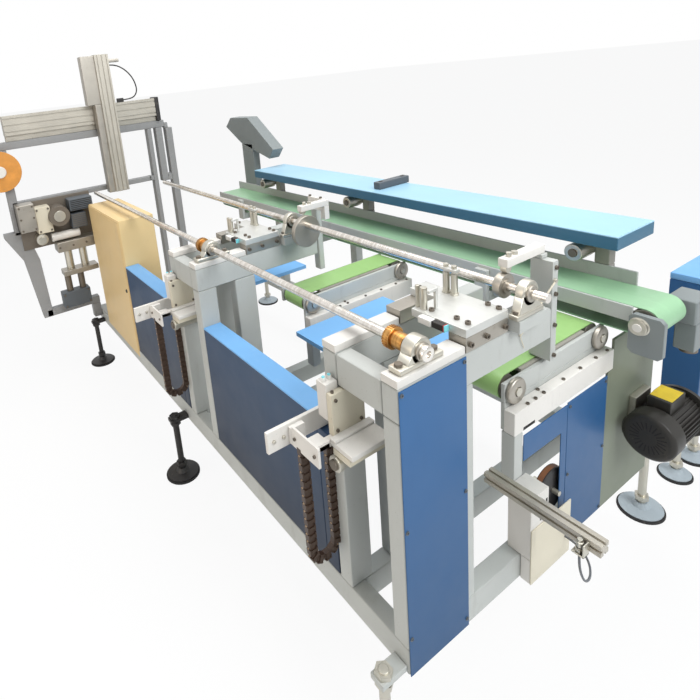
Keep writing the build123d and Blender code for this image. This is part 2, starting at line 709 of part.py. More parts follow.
with BuildPart() as strapping_head:
    plate_x = gx + 36
    block(gx + gw, plate_x, -390, 50, 600, 890)
    block(plate_x, gx + 140, -396, -300, 730, 895)
    block(plate_x, gx + 120, -300, -212, 700, 860)
    rod_x(plate_x, gx + 150, -170, 790, 62)
    rod_x(gx + 150, gx + 158, -170, 790, 34)
    block(plate_x, gx + 130, -100, 40, 800, 872)
    block(plate_x, gx + 118, -100, -10, 690, 780)
    rod_x(plate_x, gx + 126, -285, 660, 34)
    rod_y(-230, -60, gx + 84, 655, 26)
    block(plate_x - 6, gx + 130, -215, 36, 560, 622)
    rod_z(430, 560, gx + 70, -150, 24)
    rod_z(430, 560, gx + 70, -60, 24)
    block(gx + 30, gx + 120, -205, 10, 400, 432)
    block(gx + 34, gx + 110, -236, -66, 190, 290)
    rod_z(290, 400, gx + 70, -180, 20)
    rod_z(290, 400, gx + 70, -100, 20)
keep(strapping_head, "strapping_head")


def lead(points, dia):
    """A free lead: straight runs joined by arcs as large as the runs allow."""
    spots = [Vector(*p) for p in points]
    radii = []
    for a, b, c in zip(spots, spots[1:], spots[2:]):
        run = min((b - a).length, (c - b).length)
        turn = math.radians((b - a).get_angle(c - b))
        radii.append(0.45 * run / math.tan(turn / 2))
    print("lead radii", [round(r) for r in radii])
    with BuildLine() as path:
        line = FilletPolyline(*spots, radius=radii)
    with BuildSketch(Plane(origin=spots[0], z_dir=line % 0)) as section:
        Circle(dia / 2)
    sweep(section.sketch, path=path.line)
    print("lead length", round(line.length))


# free leads: the sensor's lead on the arm, and the lead of the gantry's lift
arm_lead_route = (
    (184, 402, 282), (184, 402, 258), (186, 406, 222), (186, 428, 176), (176, 470, 138),
    (158, 520, 108), (132, 566, 90), (98, 600, 80), (62, 622, 68), (34, 622, 68),
)
gantry_lead_route = (
    (gx + 84, 290, 1640), (gx + 84, 322, 1640), (gx + 84, 364, 1626), (gx + 82, 404, 1596),
    (gx + 76, 436, 1556), (gx + 66, 456, 1510), (gx + 54, 462, 1466), (gx + 40, 444, 1432),
    (gx + 25, 404, 1422), (gx + 25, 372, 1422),
)
with BuildPart() as arm_lead:
    lead(arm_lead_route, lead_d)
keep(arm_lead, "arm_lead")
with BuildPart() as gantry_lead:
    lead(gantry_lead_route, gantry_lead_d)
keep(gantry_lead, "gantry_lead")

# move and write
low = [math.inf] * 3
high = [-math.inf] * 3
for name, item in pieces:
    box = item.bounding_box()
    for i, (a, b) in enumerate(zip(box.min, box.max)):
        low[i] = min(low[i], a)
        high[i] = max(high[i], b)
move = Location((-(low[0] + high[0]) / 2, -(low[1] + high[1]) / 2, -low[2]))
print("moved by", move.position, "size", [h - k for h, k in zip(high, low)])
for name, item in pieces:
    moved = item.moved(move)
    moved.label = name
    export_step(moved, f"parts/{name}.step")
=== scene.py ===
import math

import bmesh
import bpy
from bpy.props import FloatProperty, FloatVectorProperty
from bpy.types import Operator, Panel, PropertyGroup
from mathutils import Matrix, Vector


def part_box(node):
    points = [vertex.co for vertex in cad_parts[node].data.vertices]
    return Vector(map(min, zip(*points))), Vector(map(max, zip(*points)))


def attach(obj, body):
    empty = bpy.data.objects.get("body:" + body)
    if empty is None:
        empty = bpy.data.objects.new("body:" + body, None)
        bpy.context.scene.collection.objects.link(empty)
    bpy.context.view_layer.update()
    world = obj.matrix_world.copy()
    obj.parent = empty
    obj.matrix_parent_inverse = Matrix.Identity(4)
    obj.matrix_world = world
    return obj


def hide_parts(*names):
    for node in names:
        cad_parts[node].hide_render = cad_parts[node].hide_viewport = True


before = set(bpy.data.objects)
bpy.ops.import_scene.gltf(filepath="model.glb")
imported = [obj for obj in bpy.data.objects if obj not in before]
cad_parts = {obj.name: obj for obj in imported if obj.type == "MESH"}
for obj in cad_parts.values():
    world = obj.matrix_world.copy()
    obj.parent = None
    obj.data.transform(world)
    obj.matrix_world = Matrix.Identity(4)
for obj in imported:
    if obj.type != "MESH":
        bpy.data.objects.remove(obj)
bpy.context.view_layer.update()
BASE_LOW, BASE_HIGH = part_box("base_frame")
# the machine's own zero: near end face, operator's side, underside of the base
ZERO = Vector((BASE_HIGH[0], BASE_LOW[1], BASE_LOW[2]))
MM = 0.001

bl_info = {
    "name": "Strapping line builder",
    "version": (1, 0, 0),
    "blender": (4, 5, 0),
    "location": "3D View > Sidebar > Strapping line",
    "description": "Builds the visible pieces of a bundle strapping line round its frame",
    "category": "Add Mesh",
}


def at(x, y, z):
    """A point in machine millimetres as a point of the frame, in metres."""
    return ZERO + Vector((x, y, z)) * MM


def srgb(red, green, blue):
    """An 8-bit screen colour as the linear colour that a shader takes."""
    out = []
    for part in (red, green, blue):
        c = part / 255.0
        out.append(c / 12.92 if c <= 0.04045 else ((c + 0.055) / 1.055) ** 2.4)
    return (*out, 1.0)


# materials


class Wire:
    """A socket in a node tree, with arithmetic that adds Math nodes."""

    def __init__(self, tree, socket):
        self.tree = tree
        self.socket = socket

    def _math(self, operation, first, second=None, clamp=False):
        node = self.tree.nodes.new("ShaderNodeMath")
        node.operation = operation
        node.use_clamp = clamp
        for place, value in enumerate((first, second)):
            if value is None:
                continue
            if isinstance(value, Wire):
                self.tree.links.new(value.socket, node.inputs[place])
            else:
                node.inputs[place].default_value = value
        return Wire(self.tree, node.outputs[0])

    def __add__(self, other):
        return self._math("ADD", self, other)

    def __radd__(self, other):
        return self._math("ADD", other, self)

    def __sub__(self, other):
        return self._math("SUBTRACT", self, other)

    def __rsub__(self, other):
        return self._math("SUBTRACT", other, self)

    def __mul__(self, other):
        return self._math("MULTIPLY", self, other)

    def __rmul__(self, other):
        return self._math("MULTIPLY", other, self)

    def __truediv__(self, other):
        return self._math("DIVIDE", self, other)

    def over(self, edge):
        return self._math("GREATER_THAN", self, edge)

    def clamp(self):
        return self._math("ADD", self, 0.0, clamp=True)


class Finish:
    """One node material: its tree, its shader and the ways to add nodes to it."""

    def __init__(self, name, rough=0.5, metal=0.0, coat=0.0, spec=0.5):
        self.material = bpy.data.materials.new(name)
        self.material.use_nodes = True
        self.tree = self.material.node_tree
        self.shader = self.tree.nodes["Principled BSDF"]
        self.shader.inputs["Roughness"].default_value = rough
        self.shader.inputs["Metallic"].default_value = metal
        self.shader.inputs["Coat Weight"].default_value = coat
        self.shader.inputs["Specular IOR Level"].default_value = spec
        self.place = self.node("ShaderNodeTexCoord").outputs["Object"]

    def node(self, kind, settings=None, sockets=None, stops=None):
        """Adds a node, sets what it is, then gives its sockets values or links."""
        made = self.tree.nodes.new(kind)
        for key, value in (settings or {}).items():
            setattr(made, key, value)
        if stops:
            ramp = made.color_ramp.elements
            while len(ramp) < len(stops):
                ramp.new(0.5)
            for stop, (spot, colour) in zip(ramp, stops):
                stop.position = spot
                stop.color = colour
        for key, value in (sockets or {}).items():
            if isinstance(value, Wire):
                self.tree.links.new(value.socket, made.inputs[key])
            elif isinstance(value, bpy.types.NodeSocket):
                self.tree.links.new(value, made.inputs[key])
            else:
                made.inputs[key].default_value = value
        return made

    def noise(self, scale, detail=3.0, rough=0.55, stretch=None):
        where = self.place
        if stretch:
            where = self.node("ShaderNodeMapping", {}, {"Vector": self.place, "Scale": stretch}).outputs[0]
        made = self.node("ShaderNodeTexNoise", {}, {"Vector": where, "Scale": scale, "Detail": detail,
                                                    "Roughness": rough})
        return Wire(self.tree, made.outputs[0])

    def ramp(self, value, low, high):
        """value stretched so that low gives 0 and high gives 1, and kept in between."""
        made = self.node("ShaderNodeMapRange", {"clamp": True},
                         {"Value": value, "From Min": low, "From Max": high})
        return Wire(self.tree, made.outputs[0])

    def mix(self, mask, first, second, blend="MIX"):
        made = self.node("ShaderNodeMix", {"data_type": "RGBA", "blend_type": blend},
                         {0: mask, 6: first, 7: second})
        return made.outputs[2]

    def axis(self, index):
        made = self.node("ShaderNodeSeparateXYZ", {}, {0: self.place})
        return Wire(self.tree, made.outputs[index])

    def facing(self, index):
        normal = self.node("ShaderNodeNewGeometry").outputs["Normal"]
        made = self.node("ShaderNodeSeparateXYZ", {}, {0: normal})
        return Wire(self.tree, made.outputs[index])

    def feed(self, socket, value):
        source = value.socket if isinstance(value, Wire) else value
        self.tree.links.new(source, self.shader.inputs[socket])

    def bump(self, height, strength=0.2, distance=0.001):
        made = self.node("ShaderNodeBump", {}, {"Height": height, "Strength": strength,
                                                "Distance": distance})
        self.tree.links.new(made.outputs[0], self.shader.inputs["Normal"])


def shade(colour, factor):
    return (*[min(1.0, part * factor) for part in colour[:3]], 1.0)


def painted(name, colour, rough=0.42, grime=0.5, low=None, coat=0.04, dirt=(70, 62, 52)):
    """Sprayed machine paint: faint cloudiness, settled dust, rubbed spots and orange peel."""
    made = Finish(name, rough, 0.0, coat, 0.25)
    cloud = made.ramp(made.noise(2.2, 4.0), 0.3, 0.7)
    base = made.mix(cloud, shade(colour, 0.93), shade(colour, 1.06))
    # low, where given, darkens the paint towards the bottom: painted shade
    if low is not None:
        height = made.ramp(made.axis(2) + made.noise(1.4) * 0.12, *low[1])
        base = made.mix(height, low[0], base)
    streak = made.ramp(made.noise(16.0, 5.0, 0.65, (1.0, 1.0, 0.25)), 0.58, 0.8)
    base = made.mix(streak * (0.35 * grime), base, srgb(*dirt))
    specks = made.ramp(made.noise(230.0, 2.0), 0.69, 0.75)
    base = made.mix(specks * (0.5 * grime), base, srgb(*dirt))
    made.feed("Base Color", base)
    made.feed("Roughness", made.noise(9.0, 3.0) * 0.22 + (rough - 0.08))
    made.bump(made.noise(420.0, 2.0), 0.08, 0.0006)
    return made.material


def ground_metal(name, colour, rough=0.38, along=0, grime=0.35, metal=0.85):
    """Machined steel or aluminium with tool lines along one axis and oily patches."""
    made = Finish(name, rough, metal)
    stretch = [1.0, 1.0, 1.0]
    stretch[along] = 0.04
    lines = made.noise(520.0, 3.0, 0.6, tuple(stretch))
    cloud = made.ramp(made.noise(7.0, 4.0), 0.35, 0.72)
    base = made.mix(cloud, shade(colour, 0.86), colour)
    base = made.mix(made.ramp(lines, 0.35, 0.7) * 0.18, base, shade(colour, 1.15))
    stain = made.ramp(made.noise(26.0, 5.0, 0.7), 0.6, 0.78)
    base = made.mix(stain * grime, base, srgb(92, 76, 60))
    made.feed("Base Color", base)
    made.feed("Roughness", made.noise(14.0, 4.0) * 0.25 + (rough - 0.1))
    made.bump(lines, 0.1, 0.0003)
    return made.material


def moulded(name, colour, rough=0.5, grain=300.0):
    """Plastic or rubber with a fine grain and paler rubbed places."""
    made = Finish(name, rough)
    worn = made.ramp(made.noise(18.0, 4.0), 0.45, 0.8)
    base = made.mix(worn * 0.6, colour, shade(colour, 1.5))
    dust = made.ramp(made.noise(60.0, 3.0), 0.6, 0.8)
    base = made.mix(dust * 0.25, base, srgb(120, 110, 98))
    made.feed("Base Color", base)
    made.feed("Roughness", made.noise(22.0) * 0.25 + (rough - 0.1))
    made.bump(made.noise(grain, 2.0), 0.15, 0.0004)
    return made.material


def belting(name, colour):
    """Woven-backed plastic belt: a fine bumpy grain, scuffs along it and patches of dirt."""
    made = Finish(name, 0.42, 0.0, 0.1)
    cloud = made.ramp(made.noise(1.6, 3.0), 0.3, 0.7)
    base = made.mix(cloud, shade(colour, 0.93), shade(colour, 1.05))
    scuff = made.ramp(made.noise(40.0, 4.0, 0.6, (0.05, 1.0, 1.0)), 0.52, 0.75)
    base = made.mix(scuff * 0.22, base, shade(colour, 1.3))
    dirt = made.ramp(made.noise(5.0, 5.0, 0.7), 0.55, 0.8)
    base = made.mix(dirt * 0.3, base, srgb(104, 112, 84))
    made.feed("Base Color", base)
    made.feed("Roughness", made.noise(11.0) * 0.3 + 0.28)
    made.bump(made.noise(700.0, 1.0), 0.12, 0.0003)
    return made.material


def banded(name, colour, second, scale, rough=0.35):
    """A polished round shaft or brass fitting with fine turned rings."""
    made = Finish(name, rough, 1.0)
    rings = made.noise(scale, 2.0, 0.5, (1.0, 0.05, 0.05))
    base = made.mix(made.ramp(rings, 0.3, 0.7), colour, second)
    stain = made.ramp(made.noise(12.0, 4.0), 0.55, 0.8)
    base = made.mix(stain * 0.3, base, srgb(120, 96, 72))
    made.feed("Base Color", base)
    made.feed("Roughness", made.noise(30.0) * 0.16 + (rough - 0.08))
    made.bump(rings, 0.05, 0.0002)
    return made.material


FINISHES = {
    "frame": lambda c: painted("frame_paint", c.frame_colour, 0.4, 0.55, dirt=(96, 84, 66)),
    "frame_dark": lambda c: painted("shaded_paint", srgb(150, 146, 138), 0.5, 0.8),
    # the panel blue darkens towards the bottom through low: painted shade
    "blue": lambda c: painted("panel_blue_with_shade", c.panel_colour, 0.36, 0.25,
                              low=(shade(c.panel_colour, 0.6), (0.25, 1.1)), coat=0.05, dirt=(40, 60, 80)),
    # a darker copy of the panel blue, darker still towards the bottom: painted shade on the guards
    "guard_shaded_blue": lambda c: painted("guard_shaded_paint", srgb(44, 68, 98), 0.4, 0.4,
                                    low=(srgb(36, 40, 52), (0.3, 0.85)), dirt=(30, 34, 44)),
    "cover_blue": lambda c: painted("cover_paint", srgb(66, 110, 136), 0.34, 0.3, coat=0.08, dirt=(120, 140, 150)),
    # a pale blue skin for the cover's top face: painted highlight where the light falls
    "cover_lit_top": lambda c: painted("cover_highlight_paint", srgb(158, 198, 220), 0.36, 0.2, dirt=(180, 200, 210)),
    "sheet_green": lambda c: painted("leg_sheet_paint", srgb(122, 128, 112), 0.45, 0.4),
    "gantry_grey": lambda c: painted("gantry_paint", srgb(146, 146, 146), 0.42, 0.5),
    "lead_grey": lambda c: moulded("grey_lead", srgb(96, 98, 102), 0.45),
    # pale blue caps on the tops of the guards and the right cabinet: painted highlight; the catch trays are made in it
    # too
    "tray_and_lit_top_blue": lambda c: painted("tray_and_lit_top_paint", srgb(120, 175, 225), 0.4, 0.3, dirt=(200, 210, 220)),
    "beige": lambda c: painted("cabinet_paint", c.cabinet_colour, 0.4, 0.3, dirt=(120, 96, 60)),
    "pale": lambda c: painted("pale_paint", srgb(222, 218, 212), 0.4, 0.45),
    "cream": lambda c: painted("cream_paint", srgb(214, 206, 186), 0.42, 0.5),
    "grey": lambda c: painted("grey_paint", srgb(132, 138, 138), 0.45, 0.5),
    "slate": lambda c: painted("slate_paint", srgb(92, 98, 104), 0.42, 0.4),
    "motor": lambda c: painted("motor_paint", srgb(50, 48, 45), 0.38, 0.45, coat=0.1, dirt=(120, 108, 92)),
    "milled": lambda c: ground_metal("milled_plate", srgb(214, 214, 210), 0.42, 0, 0.12, 0.55),
    "steel": lambda c: ground_metal("machined_steel", srgb(176, 170, 160), 0.36, 1, 0.3, 0.85),
    "dull_steel": lambda c: ground_metal("dull_steel", srgb(120, 112, 102), 0.5, 0, 0.5, 0.7),
    "zinc": lambda c: ground_metal("zinc_plate", srgb(204, 200, 188), 0.34, 2, 0.25, 0.9),
    "profile": lambda c: ground_metal("anodised_profile", srgb(190, 184, 172), 0.4, 1, 0.15, 0.6),
    "shaft": lambda c: banded("ground_shaft", srgb(214, 206, 196), srgb(236, 232, 226), 90.0, 0.2),
    "bronze": lambda c: banded("bronze_fitting", srgb(166, 116, 62), srgb(208, 160, 96), 300.0, 0.32),
    "black": lambda c: moulded("black_plastic", srgb(36, 34, 33), 0.45),
    "rubber": lambda c: moulded("black_rubber", srgb(28, 28, 28), 0.7),
    "chain": lambda c: moulded("chain_plastic", srgb(62, 44, 32), 0.42),
    "white": lambda c: moulded("white_plastic", srgb(232, 230, 224), 0.38),
    "tan": lambda c: moulded("tan_sleeve", srgb(168, 138, 104), 0.5),
    "red": lambda c: moulded("red_plastic", srgb(180, 40, 44), 0.4),
    "teal": lambda c: moulded("pale_blue_plastic", srgb(120, 205, 215), 0.4),
    "yellow": lambda c: moulded("yellow_label", srgb(222, 190, 40), 0.45),
    "sticker": lambda c: moulded("bare_label", srgb(228, 226, 216), 0.45),
    "orange": lambda c: moulded("orange_flange", srgb(206, 140, 62), 0.42),
    "belt": lambda c: belting("green_belt", c.belt_colour),
    "belt_small": lambda c: belting("cross_belt", srgb(150, 190, 118)),
    "pad": lambda c: painted("pad_paint", srgb(176, 186, 192), 0.45, 0.6),
    "lens": lambda c: moulded("dark_screen", srgb(70, 76, 80), 0.18),
    # near-black sheets laid in slots, grooves and fan openings: painted shade
    "slot_shade": lambda c: moulded("painted_shade_in_slots", srgb(24, 22, 22), 0.8),
    "copper": lambda c: moulded("oiled_brown", srgb(120, 74, 44), 0.5),
}


MADE = {}


def finish(name):
    """The material of that finish, made the first time that it is asked for."""
    if name not in MADE:
        MADE[name] = FINISHES[name](bpy.context.scene.strapper_colours)
    return MADE[name]


# meshes


class Shells:
    """Closed shells in machine millimetres that become one piece."""

    def __init__(self, *finishes):
        self.names = list(finishes)
        self.points = []
        self.faces = []
        self.slots = []
        self.slot = 0

    def use(self, name):
        """The finish of the shells that follow."""
        if name not in self.names:
            self.names.append(name)
        self.slot = self.names.index(name)
        return self

    def _add(self, points, faces):
        start = len(self.points)
        self.points += [tuple(p) for p in points]
        self.faces += [tuple(start + i for i in face) for face in faces]
        self.slots += [self.slot] * len(faces)

    def block(self, x0, x1, y0, y1, z0, z1, edge=1.5, turn=None):
        """A block with chamfered edges; turn is (axis, degrees) about its middle."""
        low, high = (x0, y0, z0), (x1, y1, z1)
        cut = min([edge] + [0.3 * abs(b - a) for a, b in zip(low, high)])
        points = []
        index = {}
        for corner in range(8):
            side = [(corner >> k) & 1 for k in range(3)]
            for flat in range(3):
                index[corner, flat] = len(points)
                point = []
                for k in range(3):
                    edge_at = high[k] if side[k] else low[k]
                    point.append(edge_at if k == flat else edge_at + (-cut if side[k] else cut))
                points.append(point)
        faces = []
        for flat in range(3):
            a, b = [k for k in range(3) if k != flat]
            for top in (0, 1):
                ring = [(top << flat) | (p << a) | (q << b) for p, q in ((0, 0), (1, 0), (1, 1), (0, 1))]
                faces.append([index[c, flat] for c in ring])
        for along in range(3):
            a, b = [k for k in range(3) if k != along]
            for p, q in ((0, 0), (1, 0), (1, 1), (0, 1)):
                c0 = (p << a) | (q << b)
                c1 = c0 | (1 << along)
                faces.append([index[c0, a], index[c0, b], index[c1, b], index[c1, a]])
        for corner in range(8):
            faces.append([index[corner, k] for k in range(3)])
        if turn:
            middle = Vector([(a + b) / 2 for a, b in zip(low, high)])
            spin = Matrix.Rotation(math.radians(turn[1]), 3, turn[0])
            points = [middle + spin @ (Vector(p) - middle) for p in points]
        self._add(points, faces)
        return self

    def prism(self, outline, along, a0, a1, edge=1.0):
        """An outline pushed along an axis; its end faces have chamfered rims."""
        n = len(outline)
        area = sum(outline[i][0] * outline[(i + 1) % n][1] - outline[(i + 1) % n][0] * outline[i][1]
                   for i in range(n))
        if area < 0:
            outline = outline[::-1]
        cut = min(edge, 0.3 * abs(a1 - a0))
        inner = []
        for i in range(n):
            p0, p1, p2 = (Vector(outline[(i + k - 1) % n]) for k in range(3))
            d0, d1 = (p1 - p0).normalized(), (p2 - p1).normalized()
            n0, n1 = Vector((-d0.y, d0.x)), Vector((-d1.y, d1.x))
            way = n0 + n1
            way = way / max(0.25, way.length_squared / 2)
            inner.append(p1 + way * cut)
        rings = [(inner, a0), (outline, a0 + cut), (outline, a1 - cut), (inner, a1)]
        points = []
        for ring, where in rings:
            for u, v in ring:
                spot = {"X": (where, u, v), "Y": (u, where, v), "Z": (u, v, where)}[along]
                points.append(spot)
        faces = [tuple(range(n)), tuple(range(3 * n, 4 * n))]
        for level in range(3):
            for i in range(n):
                j = (i + 1) % n
                faces.append((level * n + i, level * n + j, (level + 1) * n + j, (level + 1) * n + i))
        self._add(points, faces)
        return self

    def turned(self, along, centre, profile, sides=28, hole=0.0):
        """A turned part: profile is (place along the axis, radius); hole is a bore's radius."""
        rings = list(profile)
        if hole:
            rings = [(rings[0][0], hole)] + rings + [(rings[-1][0], hole)]
        points = []
        count = len(rings)
        for where, radius in rings:
            for i in range(sides):
                a = 2 * math.pi * i / sides
                u, v = radius * math.cos(a), radius * math.sin(a)
                if along == "X":
                    points.append((where, centre[0] + u, centre[1] + v))
                elif along == "Y":
                    points.append((centre[0] + u, where, centre[1] + v))
                else:
                    points.append((centre[0] + u, centre[1] + v, where))
        faces = []
        last = count if hole else count - 1
        for k in range(last):
            m = (k + 1) % count
            for i in range(sides):
                j = (i + 1) % sides
                faces.append((k * sides + i, k * sides + j, m * sides + j, m * sides + i))
        if not hole:
            faces.append(tuple(range(sides)))
            faces.append(tuple(range((count - 1) * sides, count * sides)))
        self._add(points, faces)
        return self

    def rod(self, along, a0, a1, c0, c1, radius, sides=20, edge=1.0, hole=0.0):
        """A round bar with chamfered ends."""
        cut = min(edge, 0.3 * abs(a1 - a0), 0.3 * radius)
        return self.turned(along, (c0, c1), [(a0, radius - cut), (a0 + cut, radius), (a1 - cut, radius),
                                             (a1, radius - cut)], sides, hole)

    def bar(self, start, end, radius, sides=12, end_radius=None):
        """A straight round bar between any two points."""
        a, b = Vector(start), Vector(end)
        way = (b - a).normalized()
        side = way.orthogonal().normalized()
        other = way.cross(side)
        tip = radius if end_radius is None else end_radius
        points = []
        for spot, r in ((a, radius), (b, tip)):
            for i in range(sides):
                t = 2 * math.pi * i / sides
                points.append(spot + (side * math.cos(t) + other * math.sin(t)) * r)
        faces = [tuple(range(sides)), tuple(range(sides, 2 * sides))]
        for i in range(sides):
            j = (i + 1) % sides
            faces.append((i, j, sides + j, sides + i))
        self._add(points, faces)
        return self

    def tube(self, route, radius, sides=8, steps=6):
        """A fixed pipe or lead that curves smoothly through its points."""
        spots = [Vector(p) for p in route]
        line = []
        for i in range(len(spots) - 1):
            p0, p1 = spots[max(i - 1, 0)], spots[i]
            p2, p3 = spots[i + 1], spots[min(i + 2, len(spots) - 1)]
            for k in range(steps):
                t = k / steps
                line.append(0.5 * (2 * p1 + (p2 - p0) * t + (2 * p0 - 5 * p1 + 4 * p2 - p3) * t * t
                                   + (3 * p1 - p0 - 3 * p2 + p3) * t ** 3))
        line.append(spots[-1])
        side = (line[1] - line[0]).orthogonal().normalized()
        points = []
        for i, spot in enumerate(line):
            way = (line[min(i + 1, len(line) - 1)] - line[max(i - 1, 0)]).normalized()
            side = (side - way * side.dot(way)).normalized()
            other = way.cross(side)
            for k in range(sides):
                a = 2 * math.pi * k / sides
                points.append(spot + (side * math.cos(a) + other * math.sin(a)) * radius)
        last = len(line) - 1
        faces = [tuple(range(sides)), tuple(range(last * sides, (last + 1) * sides))]
        for i in range(last):
            for k in range(sides):
                m = (k + 1) % sides
                faces.append((i * sides + k, i * sides + m, (i + 1) * sides + m, (i + 1) * sides + k))
        self._add(points, faces)
        return self

    def channel(self, along, a0, a1, outer, wall, open_side, edge=0.8):
        """A rolled channel; outer is (u0, u1, v0, v1) and open_side names the missing wall."""
        u0, u1, v0, v1 = outer
        t = wall
        shape = {
            "+u": [(u1, v0), (u0, v0), (u0, v1), (u1, v1), (u1, v1 - t), (u0 + t, v1 - t), (u0 + t, v0 + t),
                   (u1, v0 + t)],
            "-u": [(u0, v0), (u1, v0), (u1, v1), (u0, v1), (u0, v1 - t), (u1 - t, v1 - t), (u1 - t, v0 + t),
                   (u0, v0 + t)],
            "+v": [(u0, v1), (u0, v0), (u1, v0), (u1, v1), (u1 - t, v1), (u1 - t, v0 + t), (u0 + t, v0 + t),
                   (u0 + t, v1)],
            "-v": [(u0, v0), (u0, v1), (u1, v1), (u1, v0), (u1 - t, v0), (u1 - t, v1 - t), (u0 + t, v1 - t),
                   (u0 + t, v0)],
        }[open_side]
        return self.prism(shape, along, a0, a1, edge)

    def hollow(self, along, a0, a1, outer, wall, edge=1.5):
        """A square tube with open ends, its walls as four strips with mitred rims."""
        u0, u1, v0, v1 = outer
        t = wall
        self.prism([(u0, v0), (u1, v0), (u1, v0 + t), (u0, v0 + t)], along, a0, a1, edge)
        self.prism([(u0, v1 - t), (u1, v1 - t), (u1, v1), (u0, v1)], along, a0, a1, edge)
        self.prism([(u0, v0 + t), (u0 + t, v0 + t), (u0 + t, v1 - t), (u0, v1 - t)], along, a0, a1, edge)
        self.prism([(u1 - t, v0 + t), (u1, v0 + t), (u1, v1 - t), (u1 - t, v1 - t)], along, a0, a1, edge)
        return self

    def piece(self, name, replaces=(), smooth=52.0):
        """The shells as one named piece of the machine, in its place in the frame."""
        mesh = bpy.data.meshes.new(name)
        mesh.from_pydata([at(*p) for p in self.points], [], self.faces)
        for known in self.names:
            mesh.materials.append(finish(known))
        mesh.polygons.foreach_set("material_index", self.slots)
        shape = bmesh.new()
        shape.from_mesh(mesh)
        bmesh.ops.recalc_face_normals(shape, faces=shape.faces)
        shape.to_mesh(mesh)
        shape.free()
        mesh.polygons.foreach_set("use_smooth", [True] * len(mesh.polygons))
        mesh.set_sharp_from_angle(angle=math.radians(smooth))
        made = bpy.data.objects.new(name, mesh)
        bpy.context.scene.collection.objects.link(made)
        weigh = made.modifiers.new("flat_faces", "WEIGHTED_NORMAL")
        weigh.keep_sharp = True
        return own(made, replaces)


def slotted(cu, cv, width, height, side_slots, face_slots, slot=8.0, deep=6.0):
    """The outline of an extruded profile with open slots on its four faces."""
    w, h, g = width / 2, height / 2, slot / 2
    ups = [(k + 0.5) * height / side_slots - h for k in range(side_slots)]
    overs = [(k + 0.5) * width / face_slots - w for k in range(face_slots)]
    out = [(-w, -h)]
    for u in overs:
        out += [(u - g, -h), (u - g, -h + deep), (u + g, -h + deep), (u + g, -h)]
    out.append((w, -h))
    for v in ups:
        out += [(w, v - g), (w - deep, v - g), (w - deep, v + g), (w, v + g)]
    out.append((w, h))
    for u in reversed(overs):
        out += [(u + g, h), (u + g, h - deep), (u - g, h - deep), (u - g, h)]
    out.append((-w, h))
    for v in reversed(ups):
        out += [(-w, v + g), (-w + deep, v + g), (-w + deep, v - g), (-w, v - g)]
    return [(cu + u, cv + v) for u, v in out]


def own(made, replaces=()):
    """A finished piece: hides the CAD nodes that it stands for and hangs it under its body."""
    if replaces:
        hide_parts(*replaces)
    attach(made, "root")
    return made


# node trees for what repeats


class Tree:
    """A geometry node tree with named inputs."""

    def __init__(self, name, inputs):
        self.tree = bpy.data.node_groups.new(name, "GeometryNodeTree")
        self.tree.is_modifier = True
        face = self.tree.interface
        face.new_socket("Geometry", in_out="INPUT", socket_type="NodeSocketGeometry")
        self.keys = {}
        for label, kind, value in inputs:
            made = face.new_socket(label, in_out="INPUT", socket_type=kind)
            if value is not None:
                made.default_value = value
            self.keys[label] = made.identifier
        face.new_socket("Geometry", in_out="OUTPUT", socket_type="NodeSocketGeometry")
        self.start = self.tree.nodes.new("NodeGroupInput")
        self.end = self.tree.nodes.new("NodeGroupOutput")

    def node(self, kind, settings=None, sockets=None):
        made = self.tree.nodes.new(kind)
        for key, value in (settings or {}).items():
            setattr(made, key, value)
        for key, value in (sockets or {}).items():
            if isinstance(value, bpy.types.NodeSocket):
                self.tree.links.new(value, made.inputs[key])
            else:
                made.inputs[key].default_value = value
        return made

    def input(self, label):
        return self.start.outputs[label]

    def close(self, geometry, material="Material"):
        solid = self.node("GeometryNodeRealizeInstances", {}, {0: geometry})
        painted_on = self.node("GeometryNodeSetMaterial", {}, {0: solid.outputs[0],
                                                               "Material": self.input(material)})
        self.tree.links.new(painted_on.outputs[0], self.end.inputs[0])

    def grow(self, name, mesh, values, slot, smooth=40.0):
        """Runs the tree on a mesh and returns the result as a plain piece."""
        holder = bpy.data.objects.new(name + "_seed", mesh)
        bpy.context.scene.collection.objects.link(holder)
        run = holder.modifiers.new("grow", "NODES")
        run.node_group = self.tree
        for label, value in values.items():
            run[self.keys[label]] = value
        bpy.context.view_layer.update()
        ready = holder.evaluated_get(bpy.context.evaluated_depsgraph_get())
        plain = bpy.data.meshes.new_from_object(ready)
        holder.modifiers.remove(run)
        bpy.data.objects.remove(holder)
        plain.name = name
        plain.polygons.foreach_set("use_smooth", [True] * len(plain.polygons))
        plain.set_sharp_from_angle(angle=math.radians(smooth))
        made = bpy.data.objects.new(name, plain)
        bpy.context.scene.collection.objects.link(made)
        return own(made)


